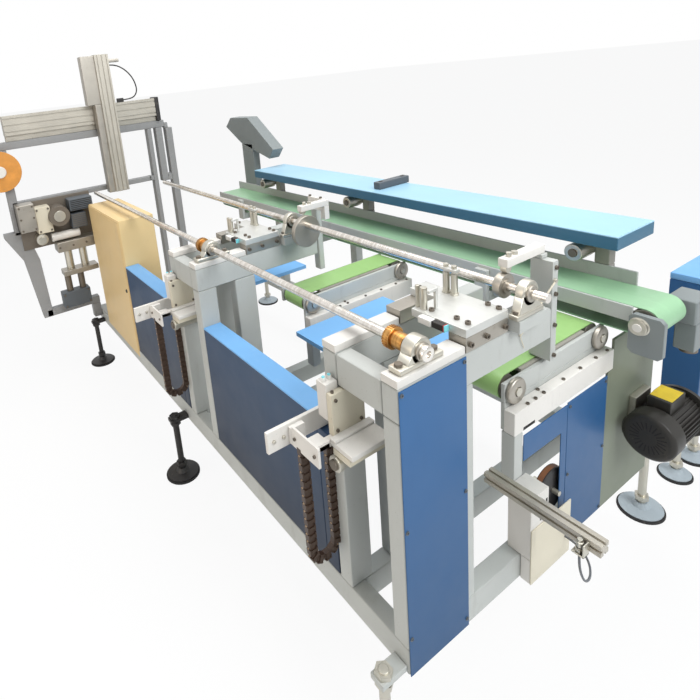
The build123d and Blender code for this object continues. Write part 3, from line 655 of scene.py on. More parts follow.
def screw_tree():
    """Cap screws with a sunk socket, one on each point, turned to face along it."""
    t = Tree("cap_screws", [("Head radius", "NodeSocketFloat", 0.006), ("Head height", "NodeSocketFloat", 0.006),
                            ("Socket", "NodeSocketFloat", 0.55), ("Sides", "NodeSocketInt", 16),
                            ("Material", "NodeSocketMaterial", None)])
    head = t.node("GeometryNodeMeshCylinder", {"fill_type": "NGON"},
                  {"Vertices": t.input("Sides"), "Radius": t.input("Head radius"),
                   "Depth": t.input("Head height")})
    rim = t.node("GeometryNodeExtrudeMesh", {"mode": "FACES"},
                 {"Mesh": head.outputs["Mesh"], "Selection": head.outputs["Top"], "Offset Scale": 0.0})
    inset = t.node("GeometryNodeScaleElements", {"domain": "FACE"},
                   {"Geometry": rim.outputs["Mesh"], "Selection": rim.outputs["Top"],
                    "Scale": t.input("Socket")})
    depth = t.node("ShaderNodeMath", {"operation": "MULTIPLY"}, {0: t.input("Head height"), 1: -0.6})
    sunk = t.node("GeometryNodeExtrudeMesh", {"mode": "FACES"},
                  {"Mesh": inset.outputs[0], "Selection": rim.outputs["Top"],
                   "Offset Scale": depth.outputs[0]})
    way = t.node("GeometryNodeInputNamedAttribute", {"data_type": "FLOAT_VECTOR"}, {"Name": "way"})
    aim = t.node("FunctionNodeAlignRotationToVector", {"axis": "Z"}, {"Vector": way.outputs[0]})
    placed = t.node("GeometryNodeInstanceOnPoints", {},
                    {"Points": t.input("Geometry"), "Instance": sunk.outputs["Mesh"],
                     "Rotation": aim.outputs[0]})
    t.close(placed.outputs[0])
    return t


WAYS = {"+X": (1, 0, 0), "-X": (-1, 0, 0), "+Y": (0, 1, 0), "-Y": (0, -1, 0), "+Z": (0, 0, 1), "-Z": (0, 0, -1)}


def seeds(name, places):
    """A mesh of points, each with the way that it faces; places are (x, y, z, way)."""
    mesh = bpy.data.meshes.new(name)
    mesh.from_pydata([at(*p[:3]) for p in places], [], [])
    way = mesh.attributes.new("way", "FLOAT_VECTOR", "POINT")
    for i, p in enumerate(places):
        way.data[i].vector = WAYS[p[3]]
    return mesh


def screws(name, places, radius, height, colour, slot, sides=16, socket=0.55):
    """One piece of like screws; height stands above the face that each point is on."""
    lifted = [(p[0] + WAYS[p[3]][0] * height / 2, p[1] + WAYS[p[3]][1] * height / 2,
               p[2] + WAYS[p[3]][2] * height / 2, p[3]) for p in places]
    return TREES["screws"].grow(name, seeds(name, lifted),
                                {"Head radius": radius * MM, "Head height": height * MM, "Socket": socket,
                                 "Sides": sides, "Material": finish(colour)}, slot, 35.0)


def row_tree():
    """A block repeated at even steps, for fins, slots and teeth."""
    t = Tree("even_row", [("Count", "NodeSocketInt", 8), ("Step", "NodeSocketVector", (0.01, 0, 0)),
                          ("Size", "NodeSocketVector", (0.004, 0.02, 0.02)),
                          ("Material", "NodeSocketMaterial", None)])
    points = t.node("GeometryNodeMeshLine", {"mode": "OFFSET"},
                    {"Count": t.input("Count"), "Offset": t.input("Step")})
    block = t.node("GeometryNodeMeshCube", {}, {"Size": t.input("Size")})
    line = t.node("GeometryNodeInstanceOnPoints", {},
                  {"Points": points.outputs[0], "Instance": block.outputs["Mesh"]})
    every = t.node("GeometryNodeInstanceOnPoints", {},
                   {"Points": t.input("Geometry"), "Instance": line.outputs[0]})
    t.close(every.outputs[0])
    return t


def rows(name, starts, count, step, size, colour, slot):
    """Even rows of small blocks, one row from each start, all in machine millimetres."""
    mesh = bpy.data.meshes.new(name)
    mesh.from_pydata([at(*p) for p in starts], [], [])
    return TREES["rows"].grow(name, mesh, {"Count": count, "Step": tuple(v * MM for v in step),
                                           "Size": tuple(v * MM for v in size),
                                           "Material": finish(colour)}, slot, 35.0)


def ring_tree():
    """Blocks set round a circle and turned to face outwards, for fins and fan slots."""
    t = Tree("fin_ring", [("Count", "NodeSocketInt", 24), ("Radius", "NodeSocketFloat", 0.07),
                          ("Size", "NodeSocketVector", (0.01, 0.003, 0.1)),
                          ("Material", "NodeSocketMaterial", None)])
    circle = t.node("GeometryNodeMeshCircle", {"fill_type": "NONE"},
                    {"Vertices": t.input("Count"), "Radius": t.input("Radius")})
    place = t.node("GeometryNodeInputPosition")
    aim = t.node("FunctionNodeAlignRotationToVector", {"axis": "X"}, {"Vector": place.outputs[0]})
    block = t.node("GeometryNodeMeshCube", {}, {"Size": t.input("Size")})
    ring = t.node("GeometryNodeInstanceOnPoints", {},
                  {"Points": circle.outputs[0], "Instance": block.outputs["Mesh"], "Rotation": aim.outputs[0]})
    way = t.node("GeometryNodeInputNamedAttribute", {"data_type": "FLOAT_VECTOR"}, {"Name": "way"})
    turn = t.node("FunctionNodeAlignRotationToVector", {"axis": "Z"}, {"Vector": way.outputs[0]})
    every = t.node("GeometryNodeInstanceOnPoints", {},
                   {"Points": t.input("Geometry"), "Instance": ring.outputs[0], "Rotation": turn.outputs[0]})
    t.close(every.outputs[0])
    return t


def rings(name, places, count, radius, size, colour, slot):
    """Rings of blocks round axes; size is (outwards, round, along the axis)."""
    return TREES["rings"].grow(name, seeds(name, places),
                               {"Count": count, "Radius": radius * MM, "Size": tuple(v * MM for v in size),
                                "Material": finish(colour)}, slot, 35.0)


def link_tree():
    """Drag chain links along a line: side plates, cross bars and a pin through each joint."""
    t = Tree("chain_links", [("Pitch", "NodeSocketFloat", 0.024), ("Width", "NodeSocketFloat", 0.03),
                             ("Height", "NodeSocketFloat", 0.018), ("Material", "NodeSocketMaterial", None),
                             ("Pin material", "NodeSocketMaterial", None)])
    line = t.node("GeometryNodeMeshToCurve", {}, {0: t.input("Geometry")})
    spots = t.node("GeometryNodeCurveToPoints", {"mode": "LENGTH"},
                   {"Curve": line.outputs[0], "Length": t.input("Pitch")})

    def scaled(*parts):
        joined = t.node("ShaderNodeCombineXYZ")
        for place, (label, factor) in enumerate(parts):
            part = t.node("ShaderNodeMath", {"operation": "MULTIPLY"}, {0: t.input(label), 1: factor})
            t.tree.links.new(part.outputs[0], joined.inputs[place])
        return joined.outputs[0]

    halves = []
    for side in (-1, 1):
        plate = t.node("GeometryNodeMeshCube", {},
                       {"Size": scaled(("Height", 1.0), ("Width", 0.14), ("Pitch", 0.82))})
        shift = t.node("GeometryNodeTransform", {},
                       {"Geometry": plate.outputs["Mesh"],
                        "Translation": scaled(("Height", 0.0), ("Width", 0.43 * side), ("Pitch", 0.0))})
        halves.append(shift.outputs[0])
        bar = t.node("GeometryNodeMeshCube", {},
                     {"Size": scaled(("Height", 0.16), ("Width", 0.8), ("Pitch", 0.42))})
        lift = t.node("GeometryNodeTransform", {},
                      {"Geometry": bar.outputs["Mesh"],
                       "Translation": scaled(("Height", 0.4 * side), ("Width", 0.0), ("Pitch", 0.0))})
        halves.append(lift.outputs[0])
    neck = t.node("GeometryNodeMeshCube", {},
                  {"Size": scaled(("Height", 0.62), ("Width", 0.8), ("Pitch", 1.02))})
    halves.append(neck.outputs["Mesh"])
    join = t.node("GeometryNodeJoinGeometry")
    for half in halves:
        t.tree.links.new(half, join.inputs[0])
    dark = t.node("GeometryNodeSetMaterial", {}, {0: join.outputs[0], "Material": t.input("Material")})
    radius = t.node("ShaderNodeMath", {"operation": "MULTIPLY"}, {0: t.input("Height"), 1: 0.17})
    length = t.node("ShaderNodeMath", {"operation": "MULTIPLY"}, {0: t.input("Width"), 1: 1.06})
    pin = t.node("GeometryNodeMeshCylinder", {}, {"Vertices": 10, "Radius": radius.outputs[0],
                                                  "Depth": length.outputs[0]})
    across = t.node("GeometryNodeTransform", {},
                    {"Geometry": pin.outputs["Mesh"], "Rotation": (math.pi / 2, 0.0, 0.0),
                     "Translation": scaled(("Height", 0.0), ("Width", 0.0), ("Pitch", 0.5))})
    bright = t.node("GeometryNodeSetMaterial", {}, {0: across.outputs[0], "Material": t.input("Pin material")})
    both = t.node("GeometryNodeJoinGeometry")
    t.tree.links.new(dark.outputs[0], both.inputs[0])
    t.tree.links.new(bright.outputs[0], both.inputs[0])
    placed = t.node("GeometryNodeInstanceOnPoints", {},
                    {"Points": spots.outputs["Points"], "Instance": both.outputs[0],
                     "Rotation": spots.outputs["Rotation"]})
    solid = t.node("GeometryNodeRealizeInstances", {}, {0: placed.outputs[0]})
    t.tree.links.new(solid.outputs[0], t.end.inputs[0])
    return t


TREES = {}


# the machine, in machine millimetres
BEAM = 51.0
STATION = 1005.0
GAP = 154.0
DECK_TOP = 873.0
GUIDE_Y, GUIDE_Z = 87.0, 869.5
CAM_Y, CAM_Z = 440.0, 905.0
GX = -2700.0
# name, node, finish, diameter and length in metres, and the route
LEADS = (
    ("arm_lead_grey", "arm_lead", "lead_grey", 0.006, 0.404, (
        (184, 402, 282), (184, 402, 258), (186, 406, 222), (186, 428, 176), (176, 470, 138),
        (158, 520, 108), (132, 566, 90), (98, 600, 80), (62, 622, 68), (34, 622, 68))),
    ("gantry_lead_black", "gantry_lead", "black", 0.008, 0.387, (
        (GX + 84, 290, 1640), (GX + 84, 322, 1640), (GX + 84, 364, 1626), (GX + 82, 404, 1596),
        (GX + 76, 436, 1556), (GX + 66, 456, 1510), (GX + 54, 462, 1466), (GX + 40, 444, 1432),
        (GX + 25, 404, 1422), (GX + 25, 372, 1422))),
)


class STRAPPER_OT_leads(Operator):
    """The free leads of the arm's sensor and of the gantry's lift"""
    bl_idname = "strapper.leads"
    bl_label = "Free leads"

    def execute(self, context):
        for name, node, colour, width, length, route in LEADS:
            line = bpy.data.curves.new(name, "CURVE")
            line.dimensions = "3D"
            line.bevel_depth = width / 2
            line.bevel_resolution = 3
            line.use_fill_caps = True
            spline = line.splines.new("NURBS")
            spline.points.add(len(route) - 1)
            for point, spot in zip(spline.points, route):
                point.co = (*at(*spot), 1.0)
            spline.order_u = 3
            spline.use_endpoint_u = True
            line.materials.append(finish(colour))
            made = bpy.data.objects.new(name, line)
            context.scene.collection.objects.link(made)
            own(made, [node])
        return {"FINISHED"}


class STRAPPER_OT_base(Operator):
    """Welded base with its cross beams and the beam that carries the right cabinet"""
    bl_idname = "strapper.base"
    bl_label = "Base frame"

    def execute(self, context):
        s = Shells("frame")
        s.block(-2760, 0, 0, BEAM, 0, 82, 4)
        s.block(-2760, 0, 1129, 1180, 0, 82, 4)
        for x in (0.0, -STATION, -2709.0, -BEAM - GAP, -STATION - BEAM - GAP):
            s.block(x - BEAM, x, BEAM, 1129, 0, 82, 4)
        s.block(-104, -56, 1180, 1513, 0, 82, 4)
        s.piece("base_frame_welded", ["base_frame"])
        return {"FINISHED"}


def portal_pair(s, face):
    for x in (face, face - BEAM - GAP):
        s.use("frame")
        s.block(x - BEAM, x, 0, 78, 82, 724, 4)
        s.block(x - BEAM, x, 160, 252, 82, 724, 4)
        s.block(x - BEAM, x, 0, 575, 724, 812, 4)
        s.use("pale")
        s.block(x - BEAM, x, 0, 223, 812, 833, 2)
    s.use("frame")
    s.block(face - BEAM - GAP, face - BEAM, 0, BEAM, 724, 812, 4)


class STRAPPER_OT_portals(Operator):
    """The near and mid portals: slotted legs, their beams and the flat plates on top"""
    bl_idname = "strapper.portals"
    bl_label = "Portals"

    def execute(self, context):
        for face, name in ((0.0, "near_portals"), (-STATION, "mid_portals")):
            s = Shells("frame", "pale")
            portal_pair(s, face)
            s.piece(name + "_slotted", [name])
        return {"FINISHED"}


class STRAPPER_OT_decks(Operator):
    """Milled deck plates on their spacers, with bolts, posts and the stop brackets"""
    bl_idname = "strapper.decks"
    bl_label = "Deck plates and stops"

    def execute(self, context):
        s = Shells("milled", "steel")
        for face in (0.0, -STATION):
            s.use("steel")
            s.block(face - 51, face, 226, 385, 812, 851, 1.5)
            s.block(face - 256, face - 205, 226, 385, 812, 851, 1.5)
            s.use("milled")
            s.block(face - 165, face, 226, 385, 851, 873, 1.2)
            s.block(face - 256, face - 165, 320, 385, 851, 873, 1.2)
        s.piece("deck_plates_milled", ["deck_plates"])
        s = Shells("zinc", "milled", "dull_steel")
        for face in (0.0, -STATION):
            for x, y, r in ((-140.0, 245.0, 9), (-168.0, 365.0, 9), (-142.0, 365.0, 9), (-160, 245, 6)):
                s.use("zinc").rod("Z", DECK_TOP, DECK_TOP + 60, face + x, y, r)
            s.use("milled").block(face - 180, face - 130, 355, 375, 939, 947, 1)
            s.block(face - 124, face - 116, 262, 270, DECK_TOP, 931, 1)
            s.block(face - 124, face - 116, 238, 263, 923, 931, 1)
            for x in (-168.0, -142.0):
                s.use("zinc").turned("Z", (face + x, 365), [(DECK_TOP, 12), (DECK_TOP + 6, 12), (DECK_TOP + 7, 9)], 6)
                s.rod("Z", 939, 956, face + x, 365, 7)
            s.use("white").block(face - 128, face - 88, 206, 226, 853, 871, 2)
            s.use("black").block(face - 88, face - 54, 210, 226, 853, 870, 1.5)
            s.use("red").block(face - 54, face - 51, 210, 226, 853, 870, 0.6)
            s.use("teal").block(face - 51, face - 48, 210, 226, 853, 870, 0.6)
        s.piece("stop_posts_and_brackets", ["stop_posts"])
        places = []
        for face in (0.0, -STATION):
            for x, y in ((-50, 257), (-17, 255), (-47, 372), (-16, 371), (-150, 372), (-235, 335), (-120, 250)):
                places.append((face + x, y, DECK_TOP, "+Z"))
            for y in (240, 300, 370):
                places.append((face, y, 832, "+X"))
        screws("deck_screws", places, 7.0, 7.0, "dull_steel", "deck_plates")
        return {"FINISHED"}


def pillow(s, x, y, z_base, z_axis, half=19.0, reach=70.0):
    s.use("zinc").block(x - half, x + half, y - reach, y + reach, z_base, z_base + 15, 3)
    s.prism([(y - 46, z_base + 13), (y + 46, z_base + 13), (y + 31, z_axis), (y - 31, z_axis)], "X",
            x - half + 2, x + half - 2, 2)
    s.turned("X", (y, z_axis), [(x - half + 2, 30), (x - half + 5, 33), (x + half - 5, 33), (x + half - 2, 30)], 32,
             13)
    s.use("steel").turned("X", (y, z_axis), [(x - half - 4, 20), (x - half - 2, 22), (x + half + 2, 22),
                                             (x + half + 4, 20)], 32, 12.8)
    for side in (-1, 1):
        s.use("dull_steel").turned("Z", (x, y + side * (reach - 14)), [(z_base + 15, 10), (z_base + 22, 10)], 6)


class STRAPPER_OT_bearings(Operator):
    """Pillow blocks under the guide shaft and the cam shaft"""
    bl_idname = "strapper.bearings"
    bl_label = "Shaft bearings"

    def execute(self, context):
        s = Shells("zinc", "steel", "dull_steel", "frame")
        pillow(s, -25, GUIDE_Y, 833, GUIDE_Z)
        pillow(s, -STATION - 25, GUIDE_Y, 833, GUIDE_Z)
        for x in (12.0, -STATION + 12.0):
            s.use("frame").block(x - 52, x + 16, 390, 510, 812, 845, 2)
            pillow(s, x, CAM_Y, 845, CAM_Z, 14, 54)
        s.piece("pillow_blocks", ["shaft_bearings"])
        return {"FINISHED"}


class STRAPPER_OT_shafts(Operator):
    """The ground guide shaft, the cam shaft with its disc, and the gears at the stations"""
    bl_idname = "strapper.shafts"
    bl_label = "Shafts and cams"

    def execute(self, context):
        s = Shells("shaft", "dull_steel")
        s.rod("X", -2640, 4, GUIDE_Y, GUIDE_Z, 12.5, 28)
        s.turned("X", (GUIDE_Y, GUIDE_Z), [(-4, 17), (-1, 19), (9, 19), (11, 17)], 28, 8)
        s.piece("guide_shaft_ground", ["guide_shaft"])
        s = Shells("shaft", "steel", "dull_steel")
        s.rod("X", -2340, 68, CAM_Y, CAM_Z, 12.5, 28)
        s.use("steel").turned("X", (CAM_Y, CAM_Z - 25), [(-905, 61), (-903, 63), (-885, 63), (-883, 61)], 48)
        s.turned("X", (CAM_Y, CAM_Z), [(-62, 31), (-60, 33), (-42, 33), (-40, 31)], 40)
        s.turned("X", (CAM_Y, CAM_Z), [(-66, 20), (-36, 20)], 24)
        s.piece("cam_shaft_and_disc", ["cam_shaft"])
        s = Shells("bronze", "dull_steel", "zinc")
        for face in (0.0, -STATION):
            x = face - 78.0
            s.use("bronze")
            s.turned("X", (GUIDE_Y, GUIDE_Z), [(x - 27, 25), (x - 25, 27), (x - 9, 27), (x - 7, 25)], 32, 12.5)
            s.turned("X", (GUIDE_Y, GUIDE_Z), [(x - 7, 19), (x - 5, 21), (x + 25, 21), (x + 27, 19)], 28, 12.5)
        s.piece("shaft_gears_turned", ["shaft_gears"])
        rings("gear_teeth", [(x, GUIDE_Y, GUIDE_Z, "+X") for x in (-95.0, -STATION - 95.0)], 26, 26.5,
              (4.0, 3.2, 16.0), "bronze", "shaft_gears")
        return {"FINISHED"}


class STRAPPER_OT_top_bars(Operator):
    """Follower bars over the cams, their clevises, and the upright plates"""
    bl_idname = "strapper.top_bars"
    bl_label = "Top bars and uprights"

    def execute(self, context):
        s = Shells("pale", "zinc", "dull_steel")
        for x, low, end in ((-50.0, 938.0, 598.0), (-920.0, 943.0, 572.0)):
            s.use("pale").block(x - 14, x + 14, 435, end, 955, 978, 1.5)
            s.use("zinc").rod("Z", low + 4, 955, x, 448, 9)
            s.rod("X", x - 9, x + 9, 448, low + 12, 12, 24)
            s.rod("Z", 978, 990, x, 460, 7)
            s.turned("Z", (x, 485), [(978, 9), (986, 9)], 6)
        s.use("pale").block(-934, -906, 548, 572, 898, 955, 1.5)
        s.block(-1030, -934, 560, 572, 925, 978, 1.5)
        s.piece("follower_bars", ["top_bars"])
        s = Shells("frame", "pale")
        s.block(-63, 0, 575, 600, 652, 943, 2)
        s.block(-60, -30, 575, 600, 943, 955, 1.5)
        s.block(-1035, -997, 575, 600, 652, 963, 2)
        s.use("cream").bar((4, 582, 890), (4, 429, 786), 2.6).bar((4, 429, 786), (4, 447, 745), 1.2)
        s.use("zinc").rod("X", -1, 8, 582, 890, 6, 16)
        s.piece("upright_plates", ["uprights"])
        places = [(0, 587, z, "+X") for z in (670, 760, 850, 925)] + [(-1020, 566, 978, "+Z"), (-950, 566, 978, "+Z")]
        screws("upright_screws", places, 6.0, 6.0, "dull_steel", "uprights")
        return {"FINISHED"}


def push_unit(s, d):
    s.use("pale").block(d - 182, d - 100, -54, 77, 592, 606, 2)
    s.block(d - 182, d - 160, -54, 77, 606, 614, 2)
    s.use("cream").block(d - 172, d - 110, -54, 77, 572, 592, 1.5)
    s.use("zinc").turned("Y", (d - 165, 548), [(-58, 20), (-56, 22), (-44, 22), (-43, 19), (60, 19), (61, 22),
                                               (75, 22), (77, 20)], 32)
    s.use("dull_steel").rod("Y", -64, -57, d - 165, 548, 14, 24)
    s.use("cream").block(d - 182, d - 148, 40, 70, 560, 575, 1.5)
    s.use("cream").block(d - 202, d - 182, -40, 66, 606, 722, 2)
    s.use("pale").block(d - 240, d - 202, -40, -1, 640, 742, 2)
    s.block(d - 276, d - 166, -104, -96, 556, 613, 1.5)
    s.block(d - 230, d - 182, -96, -54, 585, 600, 1.5)
    s.block(d - 200, d - 182, -96, 60, 585, 606, 1.5)
    s.block(d - 304, d - 292, -169, 76, 550, 613, 1.5)
    s.block(d - 292, d - 276, -104, -60, 556, 606, 1.5)
    for y in (-150.0, -120.0):
        s.use("zinc").rod("X", d - 310, d - 286, y, 582, 5, 16)
    for y in (-30.0, -12.0):
        s.use("white").rod("Z", 741, 752, d - 221, y, 6, 16)
        s.use("teal").rod("Z", 751, 755, d - 221, y, 4.5, 16)


class STRAPPER_OT_push_units(Operator):
    """The push units that reach out through the portal slots"""
    bl_idname = "strapper.push_units"
    bl_label = "Push units"

    def execute(self, context):
        for d, name in ((0.0, "near_push_unit"), (-STATION, "mid_push_unit")):
            s = Shells("pale", "cream", "zinc")
            push_unit(s, d)
            s.piece(name + "_slide", [name])
            places = [(d - 182, y, z, "+X") for y in (-28, 50) for z in (622, 706)]
            places += [(d - 192, y, 722, "+Z") for y in (-28, 50)] + [(d - x, -104, 585, "-Y") for x in (262, 180)]
            screws(name + "_screws", places, 4.5, 4.5, "dull_steel", name)
        return {"FINISHED"}


class STRAPPER_OT_chains(Operator):
    """The drag chains that hang in a loop at the push units, link by link"""
    bl_idname = "strapper.chains"
    bl_label = "Drag chains"

    def execute(self, context):
        sizes = context.scene.strapper_sizes
        route = []
        for face in (0.0, -STATION):
            x = face - 249.0
            line = [(x, -92, 555 - 20 * k) for k in range(16)]
            for k in range(1, 20):
                a = math.pi * k / 20
                line.append((x, -51 - 41 * math.cos(a), 236 - 41 * math.sin(a)))
            line += [(x, -10, 236 + 20 * k) for k in range(15)]
            route.append(line)
        points, edges = [], []
        for line in route:
            start = len(points)
            points += [at(*p) for p in line]
            edges += [(start + i, start + i + 1) for i in range(len(line) - 1)]
        mesh = bpy.data.meshes.new("chain_line")
        mesh.from_pydata(points, edges, [])
        made = TREES["links"].grow("drag_chain_links", mesh,
                                   {"Pitch": sizes.link_pitch, "Width": 0.026, "Height": 0.016,
                                    "Material": finish("chain"), "Pin material": finish("tan")}, "drag_chains")
        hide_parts("drag_chains")
        return {"FINISHED"}


class STRAPPER_OT_guards(Operator):
    """Blue side guards in a darker blue that paints shade on them, with their folded top edges in pale blue as a
    painted highlight
    """
    bl_idname = "strapper.guards"
    bl_label = "Side guards"

    def execute(self, context):
        for name, x0, x1, x2 in (("near_side_guard", -1004.0, -312.0, -260.0),
                                 ("mid_side_guard", -1939.0, -1317.0, -1267.0)):
            s = Shells("guard_shaded_blue", "tray_and_lit_top_blue")
            s.block(x0, x1, 1, 74, 82, 574, 3)
            s.block(x1, x2, 1, 74, 82, 546, 3)
            # the guard's top edge in pale blue: painted highlight
            s.use("tray_and_lit_top_blue").block(x0, x1, 1, 74, 570, 578, 2)
            s.piece(name + "_folded", [name])
        return {"FINISHED"}


class STRAPPER_OT_cabinet(Operator):
    """The beige control cabinet with its door, rim and handle"""
    bl_idname = "strapper.cabinet"
    bl_label = "Cabinet"

    def execute(self, context):
        s = Shells("beige", "cream", "black")
        s.block(-2530, -1940, 3, 195, 82, 828, 3)
        s.block(-2524, -1946, -1, 4, 41, 822, 2)
        s.use("beige").block(-2512, -1958, -3, 0, 53, 810, 1)
        s.use("black").turned("Y", (-1976, 430), [(-8, 8), (-6, 10), (-2, 10)], 24)
        s.piece("cabinet_with_door", ["cabinet"])
        return {"FINISHED"}


def foot(s, x, y, z_top, radius, dark, side):
    tone = "black" if dark else "pad"
    s.use(tone).turned("Z", (x, y), [(-262, radius - 8), (-256, radius - 6), (-250, 30), (-236, 22), (-232, 20)], 36)
    s.use("rubber").turned("Z", (x, y), [(-270, radius - 2), (-268, radius), (-262, radius), (-260, radius - 4)], 36)
    s.use("black" if dark else "zinc").rod("Z", -234, z_top, x, y, 14, 20, 2)
    s.turned("Z", (x, y), [(-220, 24), (-202, 24)], 6)
    s.turned("Z", (x, y), [(-6, 24), (8, 24)], 6)
    s.turned("Z", (x, y), [(28, 24), (40, 24)], 6)


class STRAPPER_OT_feet(Operator):
    """Levelling feet: pads, threaded rods, nuts and the welded lugs"""
    bl_idname = "strapper.feet"
    bl_label = "Levelling feet"

    def execute(self, context):
        s = Shells("pad", "rubber", "zinc", "black", "frame")
        for x in (-30.0, -1335.0, -2650.0):
            s.use("frame" if x > -100 else "black").block(x - 22, x + 22, -85, 0, 10, 28, 2)
            foot(s, x, -60, 44, 78, x < -100, -1)
        for y in (1560.0, 1720.0):
            foot(s, -30, y, 0, 60, False, 1)
        for x in (-30.0, -1335.0, -2650.0):
            s.use("frame").block(x - 20, x + 20, 1180, 1290, 10, 28, 2)
            foot(s, x, 1276, 44, 78, False, 1)
        s.piece("levelling_feet_turned", ["levelling_feet"])
        return {"FINISHED"}


class STRAPPER_OT_long_conveyor(Operator):
    """The long conveyor: channels, bed, stays, belt and rollers"""
    bl_idname = "strapper.long_conveyor"
    bl_label = "Long conveyor"

    def execute(self, context):
        s = Shells("frame", "frame_dark", "pale")
        s.block(-2480, 60, 880, 888, 686, 734, 1.5)
        s.block(-2480, 0, 1040, 1048, 686, 778, 1.5)
        s.use("frame_dark").block(-2360, 28, 888, 1040, 700, 729, 1)
        for x in (-400.0, -1400.0, -2150.0):
            s.use("frame")
            s.block(x - 50, x, 1130, 1179, 82, 640, 4)
            s.block(x - 50, x, 880, 1179, 600, 640, 3)
            s.block(x - 50, x, 1048, 1078, 640, 734, 2)
            s.block(x - 50, x, 860, 880, 600, 724, 2)
            s.prism([(1130, 600), (1130, 530), (1060, 600)], "X", x - 30, x - 20, 0.8)
        s.piece("long_conveyor_welded", ["long_conveyor_frame"])
        s = Shells("belt")
        loop = []
        for x, sign in ((88.0, 1), (-2440.0, -1)):
            for k in range(25):
                a = math.pi * (k / 24 - 0.5)
                loop.append((x + sign * 44 * math.cos(a), 690 + sign * 44 * math.sin(a)))
        inner = []
        for x, sign in ((88.0, 1), (-2440.0, -1)):
            for k in range(25):
                a = math.pi * (k / 24 - 0.5)
                inner.append((x + sign * 41 * math.cos(a), 690 + sign * 41 * math.sin(a)))
        belt_loop(s, loop, inner, "Y", 889, 1039)
        s.piece("long_belt_loop", ["long_belt"], 40)
        s = Shells("steel", "zinc")
        for x in (88.0, -2440.0):
            s.use("steel").turned("Y", (x, 690), [(890, 38), (893, 40.5), (1035, 40.5), (1038, 38)], 40)
            s.use("zinc").rod("Y", 862, 1060, x, 690, 12, 20)
        s.piece("belt_rollers_turned", ["belt_rollers"])
        return {"FINISHED"}


def belt_loop(s, outer, inner, along, a0, a1):
    """A closed belt: two loops of points with flat edges between them."""
    n = len(outer)
    points = []
    for where in (a0, a1):
        for ring in (outer, inner):
            for u, v in ring:
                points.append({"X": (where, u, v), "Y": (u, where, v)}[along])
    faces = []
    for i in range(n):
        j = (i + 1) % n
        faces.append((i, j, 2 * n + j, 2 * n + i))
        faces.append((n + i, n + j, 3 * n + j, 3 * n + i))
        faces.append((i, j, n + j, n + i))
        faces.append((2 * n + i, 2 * n + j, 3 * n + j, 3 * n + i))
    s._add(points, faces)


class STRAPPER_OT_cover(Operator):
    """The long cover beam on its posts, with the switch box on top"""
    bl_idname = "strapper.cover"
    bl_label = "Cover beam"

    def execute(self, context):
        s = Shells("cover_blue", "cover_lit_top")
        s.block(-2078, -14, 937, 1163, 870, 912, 2)
        # the cover's top face in pale blue: painted highlight
        s.use("cover_lit_top").block(-2078, -14, 937, 1163, 909, 915, 2.5)
        s.piece("cover_beam_folded", ["cover"])
        s = Shells("frame_dark", "zinc", "dull_steel")
        for x in (-105.0, -1205.0, -1986.0):
            s.use("frame_dark").block(x - 23, x + 23, 1040, 1080, 778, 870, 3)
            s.block(x - 23, x + 23, 1048, 1080, 650, 778, 3)
            s.use("zinc").turned("Y", (x - 50, 826), [(960, 26), (963, 29), (1037, 29), (1040, 26)], 32)
            s.use("dull_steel").rod("Y", 955, 962, x - 50, 826, 14, 20)
            s.use("frame_dark").block(x - 50, x - 23, 1034, 1048, 812, 840, 1)
        s.piece("cover_posts_and_drums", ["cover_posts"])
        s = Shells("slate", "black")
        s.block(-1082, -1041, 983, 1177, 915, 948, 3)
        s.use("black").rod("Z", 946, 950, -1062, 1010, 10, 20)
        s.rod("Z", 946, 950, -1062, 1150, 10, 20)
        s.piece("switch_box_moulded", ["switch_box"])
        s = Shells("grey", "lens", "pale")
        s.block(-2393, -2258, 1048, 1098, 650, 1050, 3)
        s.prism([(-2517, 1218), (-2287, 1222), (-2014, 1029), (-2070, 968), (-2403, 1051), (-2591, 1154)], "Y",
                1048, 1128, 3)
        s.piece("control_box_folded", ["control_box"])
        return {"FINISHED"}


